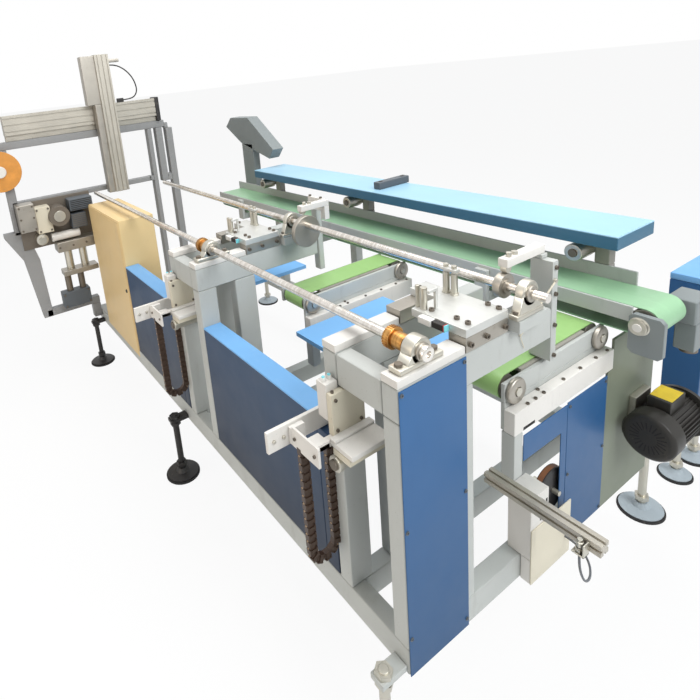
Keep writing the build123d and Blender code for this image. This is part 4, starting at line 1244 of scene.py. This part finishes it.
class STRAPPER_OT_drive(Operator):
    """Drive end of the long belt: housing, gearbox, motor and the right cabinet"""
    bl_idname = "strapper.drive"
    bl_label = "Drive end"

    def execute(self, context):
        s = Shells("grey", "zinc", "pale")
        s.prism([(72, 601), (138, 601), (150, 613), (150, 713), (138, 725), (72, 725), (60, 713), (60, 613)],
                "Y", 860, 878, 2)
        s.use("zinc").turned("Y", (88, 690), [(848, 20), (850, 24), (858, 24), (860, 27), (861, 27)], 36)
        s.use("pale").rod("Y", 845, 849, 88, 690, 12, 24)
        s.piece("drive_housing_plate", ["drive_housing"])
        s = Shells("grey", "dull_steel")
        s.block(70, 150, 1060, 1160, 640, 718, 6)
        s.block(95, 150, 1070, 1150, 550, 642, 3)
        s.use("dull_steel").rod("Z", 534, 551, 122, 1110, 24, 28)
        s.piece("gearbox_cast", ["gearbox"])
        s = Shells("motor", "black", "yellow", "sticker", "zinc")
        s.turned("Y", (100, 288), [(943, 58), (945, 70), (950, 76), (1003, 76), (1003, 66)], 40)
        s.turned("Y", (100, 288), [(1003, 64), (1153, 64)], 40)
        s.turned("Y", (100, 288), [(1150, 66), (1153, 84), (1166, 84), (1168, 80)], 40)
        s.block(64, 128, 1009, 1109, 340, 392, 3)
        s.use("yellow").block(66, 126, 1020, 1098, 391.5, 392.4, 0.2)
        s.use("zinc").block(8, 30, 1023, 1123, 220, 356, 2)
        s.block(8, 100, 1033, 1113, 226, 250, 2)
        s.piece("motor_cast", ["motor"])
        rings("motor_fins", [(100, 1078, 288, "+Y")], 36, 66, (10.0, 2.4, 140.0), "motor", "motor")
        # dark blocks in the fan cowl's slots: painted shade
        rings("motor_fan_slots", [(100, 943.4, 288, "+Y")], 22, 38, (26.0, 4.0, 1.6), "slot_shade", "motor")
        s = Shells("blue", "tray_and_lit_top_blue", "zinc")
        s.block(-90, 31, 1514, 1760, 0, 590, 3)
        # the cabinet's top in pale blue: painted highlight
        s.use("tray_and_lit_top_blue").block(-90, 31, 1514, 1760, 590, 616, 3)
        s.piece("right_cabinet_folded", ["right_cabinet"])
        return {"FINISHED"}


class STRAPPER_OT_cross_conveyors(Operator):
    """The two short cross conveyors with their rails, drums and belts, and the trays"""
    bl_idname = "strapper.cross_conveyors"
    bl_label = "Cross conveyors"

    def execute(self, context):
        for d, y0, name in ((0.0, 409.0, "near_cross_conveyor"), (-801.0, 354.0, "mid_cross_conveyor")):
            s = Shells("frame", "zinc", "steel", "pale", "frame_dark")
            za = 612.0
            s.block(d - 35, d - 23, y0, 905, 585, 640, 1.5)
            s.block(d - 182, d - 170, y0, 905, 585, 640, 1.5)
            s.use("frame_dark").block(d - 170, d - 35, y0 + 90, 815, 634, 645, 1)
            for y in (y0 + 37, 868):
                s.use("zinc").rod("X", d - 170, d - 35, y, za, 12)
                s.use("steel").rod("X", d - 159, d - 46, y, za, 33.5, 32)
                s.turned("X", (y, za), [(d - 23, 34), (d - 20, 37), (d - 12, 37), (d - 8, 33)], 36, 14)
                s.use("zinc").turned("X", (y, za), [(d - 22, 14), (d - 5, 12)], 20)
            s.use("pale").block(d - 23, d + 9, y0 - 4, 905, 501, 570, 2)
            s.use("frame").block(d - 35, d - 23, y0, 905, 501, 585, 1.5)
            s.block(d - 30, d + 9, y0 - 4, y0 + 33, 365, 501, 2)
            # a dark strip where the rail has a slot: painted shade
            s.use("slot_shade").block(d + 8, d + 9.4, y0 + 34, y0 + 86, 504.5, 513.5, 0.5)
            s.piece(name + "_built", [name])
        places = [(d + x, y, 570, "+Z") for d in (0.0, -801.0)
                  for x, y in ((3, 470), (3, 506), (2, 546), (-16, 547), (1, 643), (1, 730), (1, 815), (1, 880))]
        screws("rail_screws", places, 5.0, 4.0, "dull_steel", "near_cross_conveyor")
        s = Shells("belt_small")
        for d, y0 in ((0.0, 409.0), (-801.0, 354.0)):
            loops = []
            for r in (37.0, 34.0):
                loop = []
                for y, sign in ((868.0, 1), (y0 + 37, -1)):
                    for k in range(21):
                        a = math.pi * (k / 20 - 0.5)
                        loop.append((y + sign * r * math.cos(a), 612 + sign * r * math.sin(a)))
                loops.append(loop)
            belt_loop(s, loops[0], loops[1], "X", d - 160, d - 45)
        s.piece("cross_belt_loops", ["cross_belts"], 40)
        s = Shells("tray_and_lit_top_blue")
        for x0, x1 in ((-760.0, -272.0), (-1705.0, -1280.0)):
            s.block(x0, x1, 260, 700, 560, 563, 0.5)
            s.block(x0, x1, 260, 263, 546, 560.5, 0.5)
            s.block(x1 - 3, x1, 263, 700, 546, 560.5, 0.5)
        s.piece("catch_trays_sheet", ["catch_trays"])
        return {"FINISHED"}


class STRAPPER_OT_near_end(Operator):
    """Near end: blue panels, pale sheet, wheel, tension box and the slotted arm"""
    bl_idname = "strapper.near_end"
    bl_label = "Near end"

    def execute(self, context):
        # the panel paint darkens towards the bottom: painted shade
        s = Shells("blue")
        s.block(0, 3, 1, 223, 1, 808, 0.8)
        s.prism([(442, 490), (651, 490), (651, 60), (622, 60), (622, 410), (442, 410)], "X", 9, 12, 0.8)
        s.block(9, 12, 653, 868, 8, 495, 0.8)
        s.piece("end_panels_sheet", ["end_panels"])
        places = [(3, 8, z, "+X") for z in (798, 438, 120)] + [(3, 214, z, "+X") for z in (798, 438, 30)]
        places += [(12, y, z, "+X") for y in (662, 858) for z in (480, 250, 20)]
        screws("panel_screws", places, 5.0, 3.0, "slate", "end_panels")
        s = Shells("sheet_green")
        s.prism([(787, 0), (879, 459), (879, 499), (907, 499), (907, 600), (1179, 600), (1179, 0)], "X", 0, 8, 1)
        s.piece("leg_sheet_folded", ["leg_sheet"])
        s = Shells("black", "copper", "zinc")
        s.turned("X", (612, 213), [(-25, 60), (-22, 70), (-3, 70), (0, 62)], 40)
        s.use("copper").turned("X", (612, 213), [(-20, 70.5), (-6, 70.5)], 40, 66)
        s.use("zinc").rod("X", -60, 20, 612, 213, 8)
        s.piece("drive_wheel_rim", ["drive_wheel"])
        s = Shells("pale", "cream")
        s.block(-40, 30, 453, 538, 82, 289, 2)
        s.block(1, 30, 453, 538, 0, 82, 2)
        s.use("cream").block(30, 34, 453, 649, 0, 185, 1)
        # dark strips where the box has two slots: painted shade
        s.use("slot_shade").block(29.6, 30.5, 496.5, 503.5, 197, 267, 0.4)
        s.block(29.6, 30.5, 523, 531, 216, 256, 0.4)
        s.piece("tension_box_folded", ["tension_box"])
        s = Shells("profile", "zinc", "slot_shade", "black")
        s.prism(slotted(432.5, 306, 35, 32, 1, 1), "X", -90, 226, 0.8)
        s.use("zinc").block(196, 200, 389, 415, 282, 318, 1).block(170, 200, 389, 415, 282, 286, 1)
        # a dark strip where the clamp has a slot: painted shade
        s.use("slot_shade").block(188, 195, 392, 411, 285.6, 286.4, 0.3)
        s.use("zinc").turned("Z", (184, 402), [(286, 8), (314, 8), (315, 6), (322, 6)], 20)
        s.turned("Z", (184, 402), [(290, 11), (296, 11)], 6)
        s.use("black").rod("Z", 298, 302, 184, 402, 8.4, 20)
        s.piece("profile_arm_slotted", ["profile_arm"])
        return {"FINISHED"}


class STRAPPER_OT_gantry(Operator):
    """The far gantry: posts, axis, ribbed column"""
    bl_idname = "strapper.gantry"
    bl_label = "Gantry"

    def execute(self, context):
        a, b = GX - 25, GX + 25
        s = Shells("gantry_grey", "black")
        s.block(a, b, -420, 626, 1215, 1260, 3)
        s.block(a, b, 500, 530, 82, 1215, 3)
        s.block(a, b, 560, 605, 850, 1215, 3)
        s.block(a, b, 605, 632, 850, 895, 2)
        s.block(a, b, 632, 678, 82, 1205, 3)
        s.block(a, b, 626, 650, 1205, 1240, 2)
        s.block(a, b, -420, -370, 700, 1215, 3)
        s.prism([(-482, 720), (-482, 693), (-401, 530), (-357, 137), (-300, 137), (-312, 520), (-360, 720)],
                "X", a, b, 2)
        s.block(a, b, -335, -1, 137, 182, 3)
        s.block(a, b, -330, 480, 870, 900, 2)
        s.block(a, b, -372, -312, 640, 720, 2)
        s.block(a, b, -400, -330, 720, 900, 2)
        s.block(a, b, 470, 500, 870, 900, 2)
        s.block(a, b, -51, -1, 42, 137, 3)
        s.piece("gantry_frame_welded", ["gantry_frame"])
        s = Shells("profile", "black", "slot_shade")
        s.prism(slotted(GX, 1351.5, 80, 113, 3, 2), "Y", -360, 576, 0.8)
        s.block(GX - 20, GX + 20, -360, 576, 1260, 1298, 2)
        s.use("black").block(GX - 40, GX + 42, 576, 604, 1262, 1415, 3)
        s.block(GX + 12, GX + 38, 332, 372, 1405, 1434, 2)
        s.piece("gantry_axis_profile", ["gantry_axis"])
        s = Shells("profile", "black", "steel")
        s.prism(slotted(GX + 82, 247.5, 80, 85, 3, 2), "Z", 860, 1705, 0.8)
        s.use("steel").block(GX + 50, GX + 110, 122, 208, 1412, 1700, 2)
        s.block(GX + 50, GX + 110, 165, 208, 860, 1412, 2)
        s.block(GX + 60, GX + 100, 282, 360, 1655, 1675, 2)
        s.piece("gantry_column_profile", ["gantry_column"])
        s = Shells("orange", "pale", "steel")
        s.turned("X", (-433, 1100), [(GX + 40, 116), (GX + 42, 118), (GX + 48, 118), (GX + 50, 60)], 48, 30)
        s.turned("X", (-433, 1100), [(GX + 64, 60), (GX + 66, 118), (GX + 73, 118), (GX + 75, 116)], 48, 30)
        s.turned("X", (-433, 1100), [(GX + 48, 92), (GX + 67, 92)], 48, 30)
        s.use("pale").turned("X", (-433, 1100), [(GX + 30, 30), (GX + 34, 34), (GX + 86, 34), (GX + 90, 30)], 32)
        s.use("steel").rod("X", GX + 25, GX + 40, -433, 1100, 12)
        s.block(GX + 25, GX + 35, -450, -380, 1090, 1110, 1)
        s.piece("tape_reel_flanged", ["tape_reel"])
        s = Shells("steel", "zinc", "pale", "dull_steel", "slate", "cream", "slot_shade")
        plate = GX + 36
        s.use("dull_steel").block(GX + 25, plate, -390, 50, 600, 890, 2)
        s.use("steel").block(plate, GX + 140, -396, -300, 730, 895, 3)
        s.use("cream").block(plate, GX + 120, -300, -212, 700, 860, 3)
        s.use("dull_steel").turned("X", (-170, 790), [(plate, 60), (plate + 2, 62), (GX + 148, 62), (GX + 150, 60)], 36)
        s.use("zinc").turned("X", (-170, 790), [(GX + 149, 32), (GX + 151, 34), (GX + 156, 34), (GX + 158, 32)], 28)
        s.use("slate").block(plate, GX + 130, -100, 40, 800, 872, 2).block(plate, GX + 118, -100, -10, 690, 780, 2)
        s.use("zinc").turned("X", (-285, 660), [(plate, 32), (plate + 2, 34), (GX + 104, 34), (GX + 106, 20),
                                                (GX + 126, 20)], 28)
        s.use("pale").rod("Y", -230, -60, GX + 84, 655, 26, 28, 3)
        s.use("steel").block(plate - 6, GX + 130, -215, 36, 560, 622, 3)
        for y in (-150.0, -60.0):
            s.use("zinc").rod("Z", 430, 561, GX + 70, y, 24, 24, 2)
        s.use("steel").block(GX + 30, GX + 120, -205, 10, 400, 432, 2)
        s.use("slate").block(GX + 34, GX + 110, -236, -66, 190, 290, 3)
        for y in (-180.0, -100.0):
            s.use("dull_steel").rod("Z", 289, 401, GX + 70, y, 20, 24, 2)
        s.piece("strapping_head_built", ["strapping_head"])
        # dark bars in the grooves between the head's ribs: painted shade
        rows("head_ribs", [(GX + 130, -30, 808)], 6, (0, 0, 11), (3.0, 124.0, 4.0), "slot_shade", "strapping_head")
        rows("head_motor_fins", [(GX + 118.5, -55, 700)], 7, (0, 0, 12), (4.0, 84.0, 4.0), "dull_steel",
             "strapping_head")
        places = [(GX + 140, y, z, "+X") for y in (-384, -312) for z in (744, 812, 880)]
        places += [(GX + 120, y, z, "+X") for y in (-288, -224) for z in (714, 846)]
        places += [(GX + 130, y, 591, "+X") for y in (-200, -120, -40, 22)]
        places += [(GX + 110, y, z, "+X") for y in (-224, -78) for z in (202, 278)]
        screws("head_screws", places, 6.0, 5.0, "dull_steel", "strapping_head")
        return {"FINISHED"}


class StrapperSizes(PropertyGroup):
    link_pitch: FloatProperty(name="Link pitch", description="Distance from one drag chain link to the next",
                              default=0.024, min=0.01, max=0.06, unit="LENGTH")
    lamp_level: FloatProperty(name="Lamp level", description="Strength of all lamps against the plain level",
                              default=1.0, min=0.1, max=3.0, subtype="FACTOR")
    floor_size: FloatProperty(name="Floor size", description="Width of the plain floor under the machine",
                              default=160.0, min=10.0, max=200.0, unit="LENGTH")


class StrapperColours(PropertyGroup):
    frame_colour: FloatVectorProperty(name="Frame paint", description="Light grey paint of the welded frame",
                                      default=srgb(186, 188, 184), size=4, min=0.0, max=1.0, subtype="COLOR")
    panel_colour: FloatVectorProperty(name="Panel paint", description="Blue paint of the guards and end panels",
                                      default=srgb(50, 98, 148), size=4, min=0.0, max=1.0, subtype="COLOR")
    cabinet_colour: FloatVectorProperty(name="Cabinet paint", description="Beige powder coat of the cabinet",
                                        default=srgb(226, 198, 146), size=4, min=0.0, max=1.0, subtype="COLOR")
    belt_colour: FloatVectorProperty(name="Belt", description="Green of the long belt",
                                     default=srgb(150, 192, 152), size=4, min=0.0, max=1.0, subtype="COLOR")


class STRAPPER_OT_stage(Operator):
    """Camera, plain white floor, world and soft lamps"""
    bl_idname = "strapper.stage"
    bl_label = "Stage"

    def execute(self, context):
        scene = context.scene
        level = scene.strapper_sizes.lamp_level
        lens = bpy.data.cameras.new("camera")
        lens.sensor_width = 36.0
        lens.sensor_fit = "HORIZONTAL"
        lens.lens = 36.0 * 532.208 / 700.0
        lens.shift_x = (350.0 - 252.536) / 700.0
        lens.shift_y = (205.406 - 350.0) / 700.0
        lens.clip_end = 200.0
        camera = bpy.data.objects.new("camera", lens)
        right = Vector((0.5204, 0.8474, -0.1051)).normalized()
        up = Vector((-0.1524, 0.2132, 0.9650))
        up = (up - right * up.dot(right)).normalized()
        back = right.cross(up)
        camera.matrix_world = Matrix.Translation(at(733.7, -730.3, 1500.0)) @ Matrix((right, up, back)).transposed().to_4x4()
        scene.collection.objects.link(camera)
        scene.camera = camera

        half = scene.strapper_sizes.floor_size / 2
        mesh = bpy.data.meshes.new("floor")
        mesh.from_pydata([(-half, -half, 0), (half, -half, 0), (half, half, 0), (-half, half, 0)], [], [(0, 1, 2, 3)])
        floor = bpy.data.objects.new("floor", mesh)
        scene.collection.objects.link(floor)
        mesh.materials.append(self.white_floor())

        scene.view_settings.view_transform = "Standard"
        world = bpy.data.worlds.new("studio")
        world.use_nodes = True
        scene.world = world
        tree = world.node_tree
        tree.nodes.clear()
        path = tree.nodes.new("ShaderNodeLightPath")
        plain, lit = tree.nodes.new("ShaderNodeBackground"), tree.nodes.new("ShaderNodeBackground")
        plain.inputs[0].default_value = (1, 1, 1, 1)
        plain.inputs[1].default_value = 1.0
        lit.inputs[0].default_value = (0.93, 0.97, 1.0, 1)
        lit.inputs[1].default_value = 0.45 * level
        seen = tree.nodes.new("ShaderNodeMath")
        seen.operation = "MAXIMUM"
        tree.links.new(path.outputs["Is Camera Ray"], seen.inputs[0])
        tree.links.new(path.outputs["Is Transmission Ray"], seen.inputs[1])
        both = tree.nodes.new("ShaderNodeMath")
        both.operation = "MAXIMUM"
        tree.links.new(seen.outputs[0], both.inputs[0])
        tree.links.new(path.outputs["Is Glossy Ray"], both.inputs[1])
        mix = tree.nodes.new("ShaderNodeMixShader")
        tree.links.new(both.outputs[0], mix.inputs[0])
        tree.links.new(lit.outputs[0], mix.inputs[1])
        tree.links.new(plain.outputs[0], mix.inputs[2])
        out = tree.nodes.new("ShaderNodeOutputWorld")
        tree.links.new(mix.outputs[0], out.inputs[0])

        for name, spot, aim, width, power, colour in (
                ("key", (3200, 900, 3800), (-900, 500, 500), 3.0, 170.0, (0.95, 0.98, 1.0)),
                ("top", (-1200, 900, 4200), (-1200, 500, 500), 4.0, 126.0, (1.0, 1.0, 1.0)),
                ("fill", (-900, -3600, 1300), (-900, 300, 500), 3.0, 36.0, (1.0, 0.84, 0.66))):
            lamp = bpy.data.lights.new(name, "AREA")
            lamp.shape = "DISK"
            lamp.size = width
            lamp.energy = power * level
            lamp.color = colour
            holder = bpy.data.objects.new(name, lamp)
            way = (at(*aim) - at(*spot)).to_track_quat("-Z", "Y")
            holder.matrix_world = Matrix.Translation(at(*spot)) @ way.to_matrix().to_4x4()
            scene.collection.objects.link(holder)
        return {"FINISHED"}

    def white_floor(self):
        """A pale floor that the camera sees as white where nothing shades it."""
        material = bpy.data.materials.new("floor_white")
        material.use_nodes = True
        tree = material.node_tree
        shader = tree.nodes["Principled BSDF"]
        shader.inputs["Base Color"].default_value = (0.86, 0.86, 0.86, 1)
        shader.inputs["Roughness"].default_value = 0.9
        shader.inputs["Specular IOR Level"].default_value = 0.1
        glow = tree.nodes.new("ShaderNodeEmission")
        glow.inputs[0].default_value = (1, 1, 1, 1)
        glow.inputs[1].default_value = 1.0
        path = tree.nodes.new("ShaderNodeLightPath")
        share = tree.nodes.new("ShaderNodeMath")
        share.operation = "MULTIPLY"
        share.inputs[1].default_value = 0.9
        tree.links.new(path.outputs["Is Camera Ray"], share.inputs[0])
        mix = tree.nodes.new("ShaderNodeMixShader")
        tree.links.new(share.outputs[0], mix.inputs[0])
        tree.links.new(shader.outputs[0], mix.inputs[1])
        tree.links.new(glow.outputs[0], mix.inputs[2])
        tree.links.new(mix.outputs[0], tree.nodes["Material Output"].inputs[0])
        return material


STEPS = (
    ("stage", STRAPPER_OT_stage),
    ("leads", STRAPPER_OT_leads),
    ("base", STRAPPER_OT_base),
    ("portals", STRAPPER_OT_portals),
    ("decks", STRAPPER_OT_decks),
    ("bearings", STRAPPER_OT_bearings),
    ("shafts", STRAPPER_OT_shafts),
    ("top_bars", STRAPPER_OT_top_bars),
    ("push_units", STRAPPER_OT_push_units),
    ("chains", STRAPPER_OT_chains),
    ("guards", STRAPPER_OT_guards),
    ("cabinet", STRAPPER_OT_cabinet),
    ("feet", STRAPPER_OT_feet),
    ("long_conveyor", STRAPPER_OT_long_conveyor),
    ("cover", STRAPPER_OT_cover),
    ("drive", STRAPPER_OT_drive),
    ("cross_conveyors", STRAPPER_OT_cross_conveyors),
    ("near_end", STRAPPER_OT_near_end),
    ("gantry", STRAPPER_OT_gantry),
)


class STRAPPER_PT_line(Panel):
    """Lists the steps that build the strapping line"""
    bl_idname = "STRAPPER_PT_line"
    bl_label = "Strapping line"
    bl_space_type = "VIEW_3D"
    bl_region_type = "UI"
    bl_category = "Strapping line"

    def draw(self, context):
        layout = self.layout
        for group in (context.scene.strapper_sizes, context.scene.strapper_colours):
            for key in group.bl_rna.properties.keys():
                if key not in ("rna_type", "name"):
                    layout.prop(group, key)
        for key, _ in STEPS:
            layout.operator("strapper." + key)


CLASSES = (StrapperSizes, StrapperColours, *[step for _, step in STEPS], STRAPPER_PT_line)


def register():
    for item in CLASSES:
        bpy.utils.register_class(item)
    bpy.types.Scene.strapper_sizes = bpy.props.PointerProperty(type=StrapperSizes)
    bpy.types.Scene.strapper_colours = bpy.props.PointerProperty(type=StrapperColours)


def unregister():
    del bpy.types.Scene.strapper_colours
    del bpy.types.Scene.strapper_sizes
    for item in reversed(CLASSES):
        bpy.utils.unregister_class(item)


def main():
    register()
    TREES["screws"] = screw_tree()
    TREES["rows"] = row_tree()
    TREES["rings"] = ring_tree()
    TREES["links"] = link_tree()
    for key, _ in STEPS:
        getattr(bpy.ops.strapper, key)()


if __name__ == "__main__":
    main()
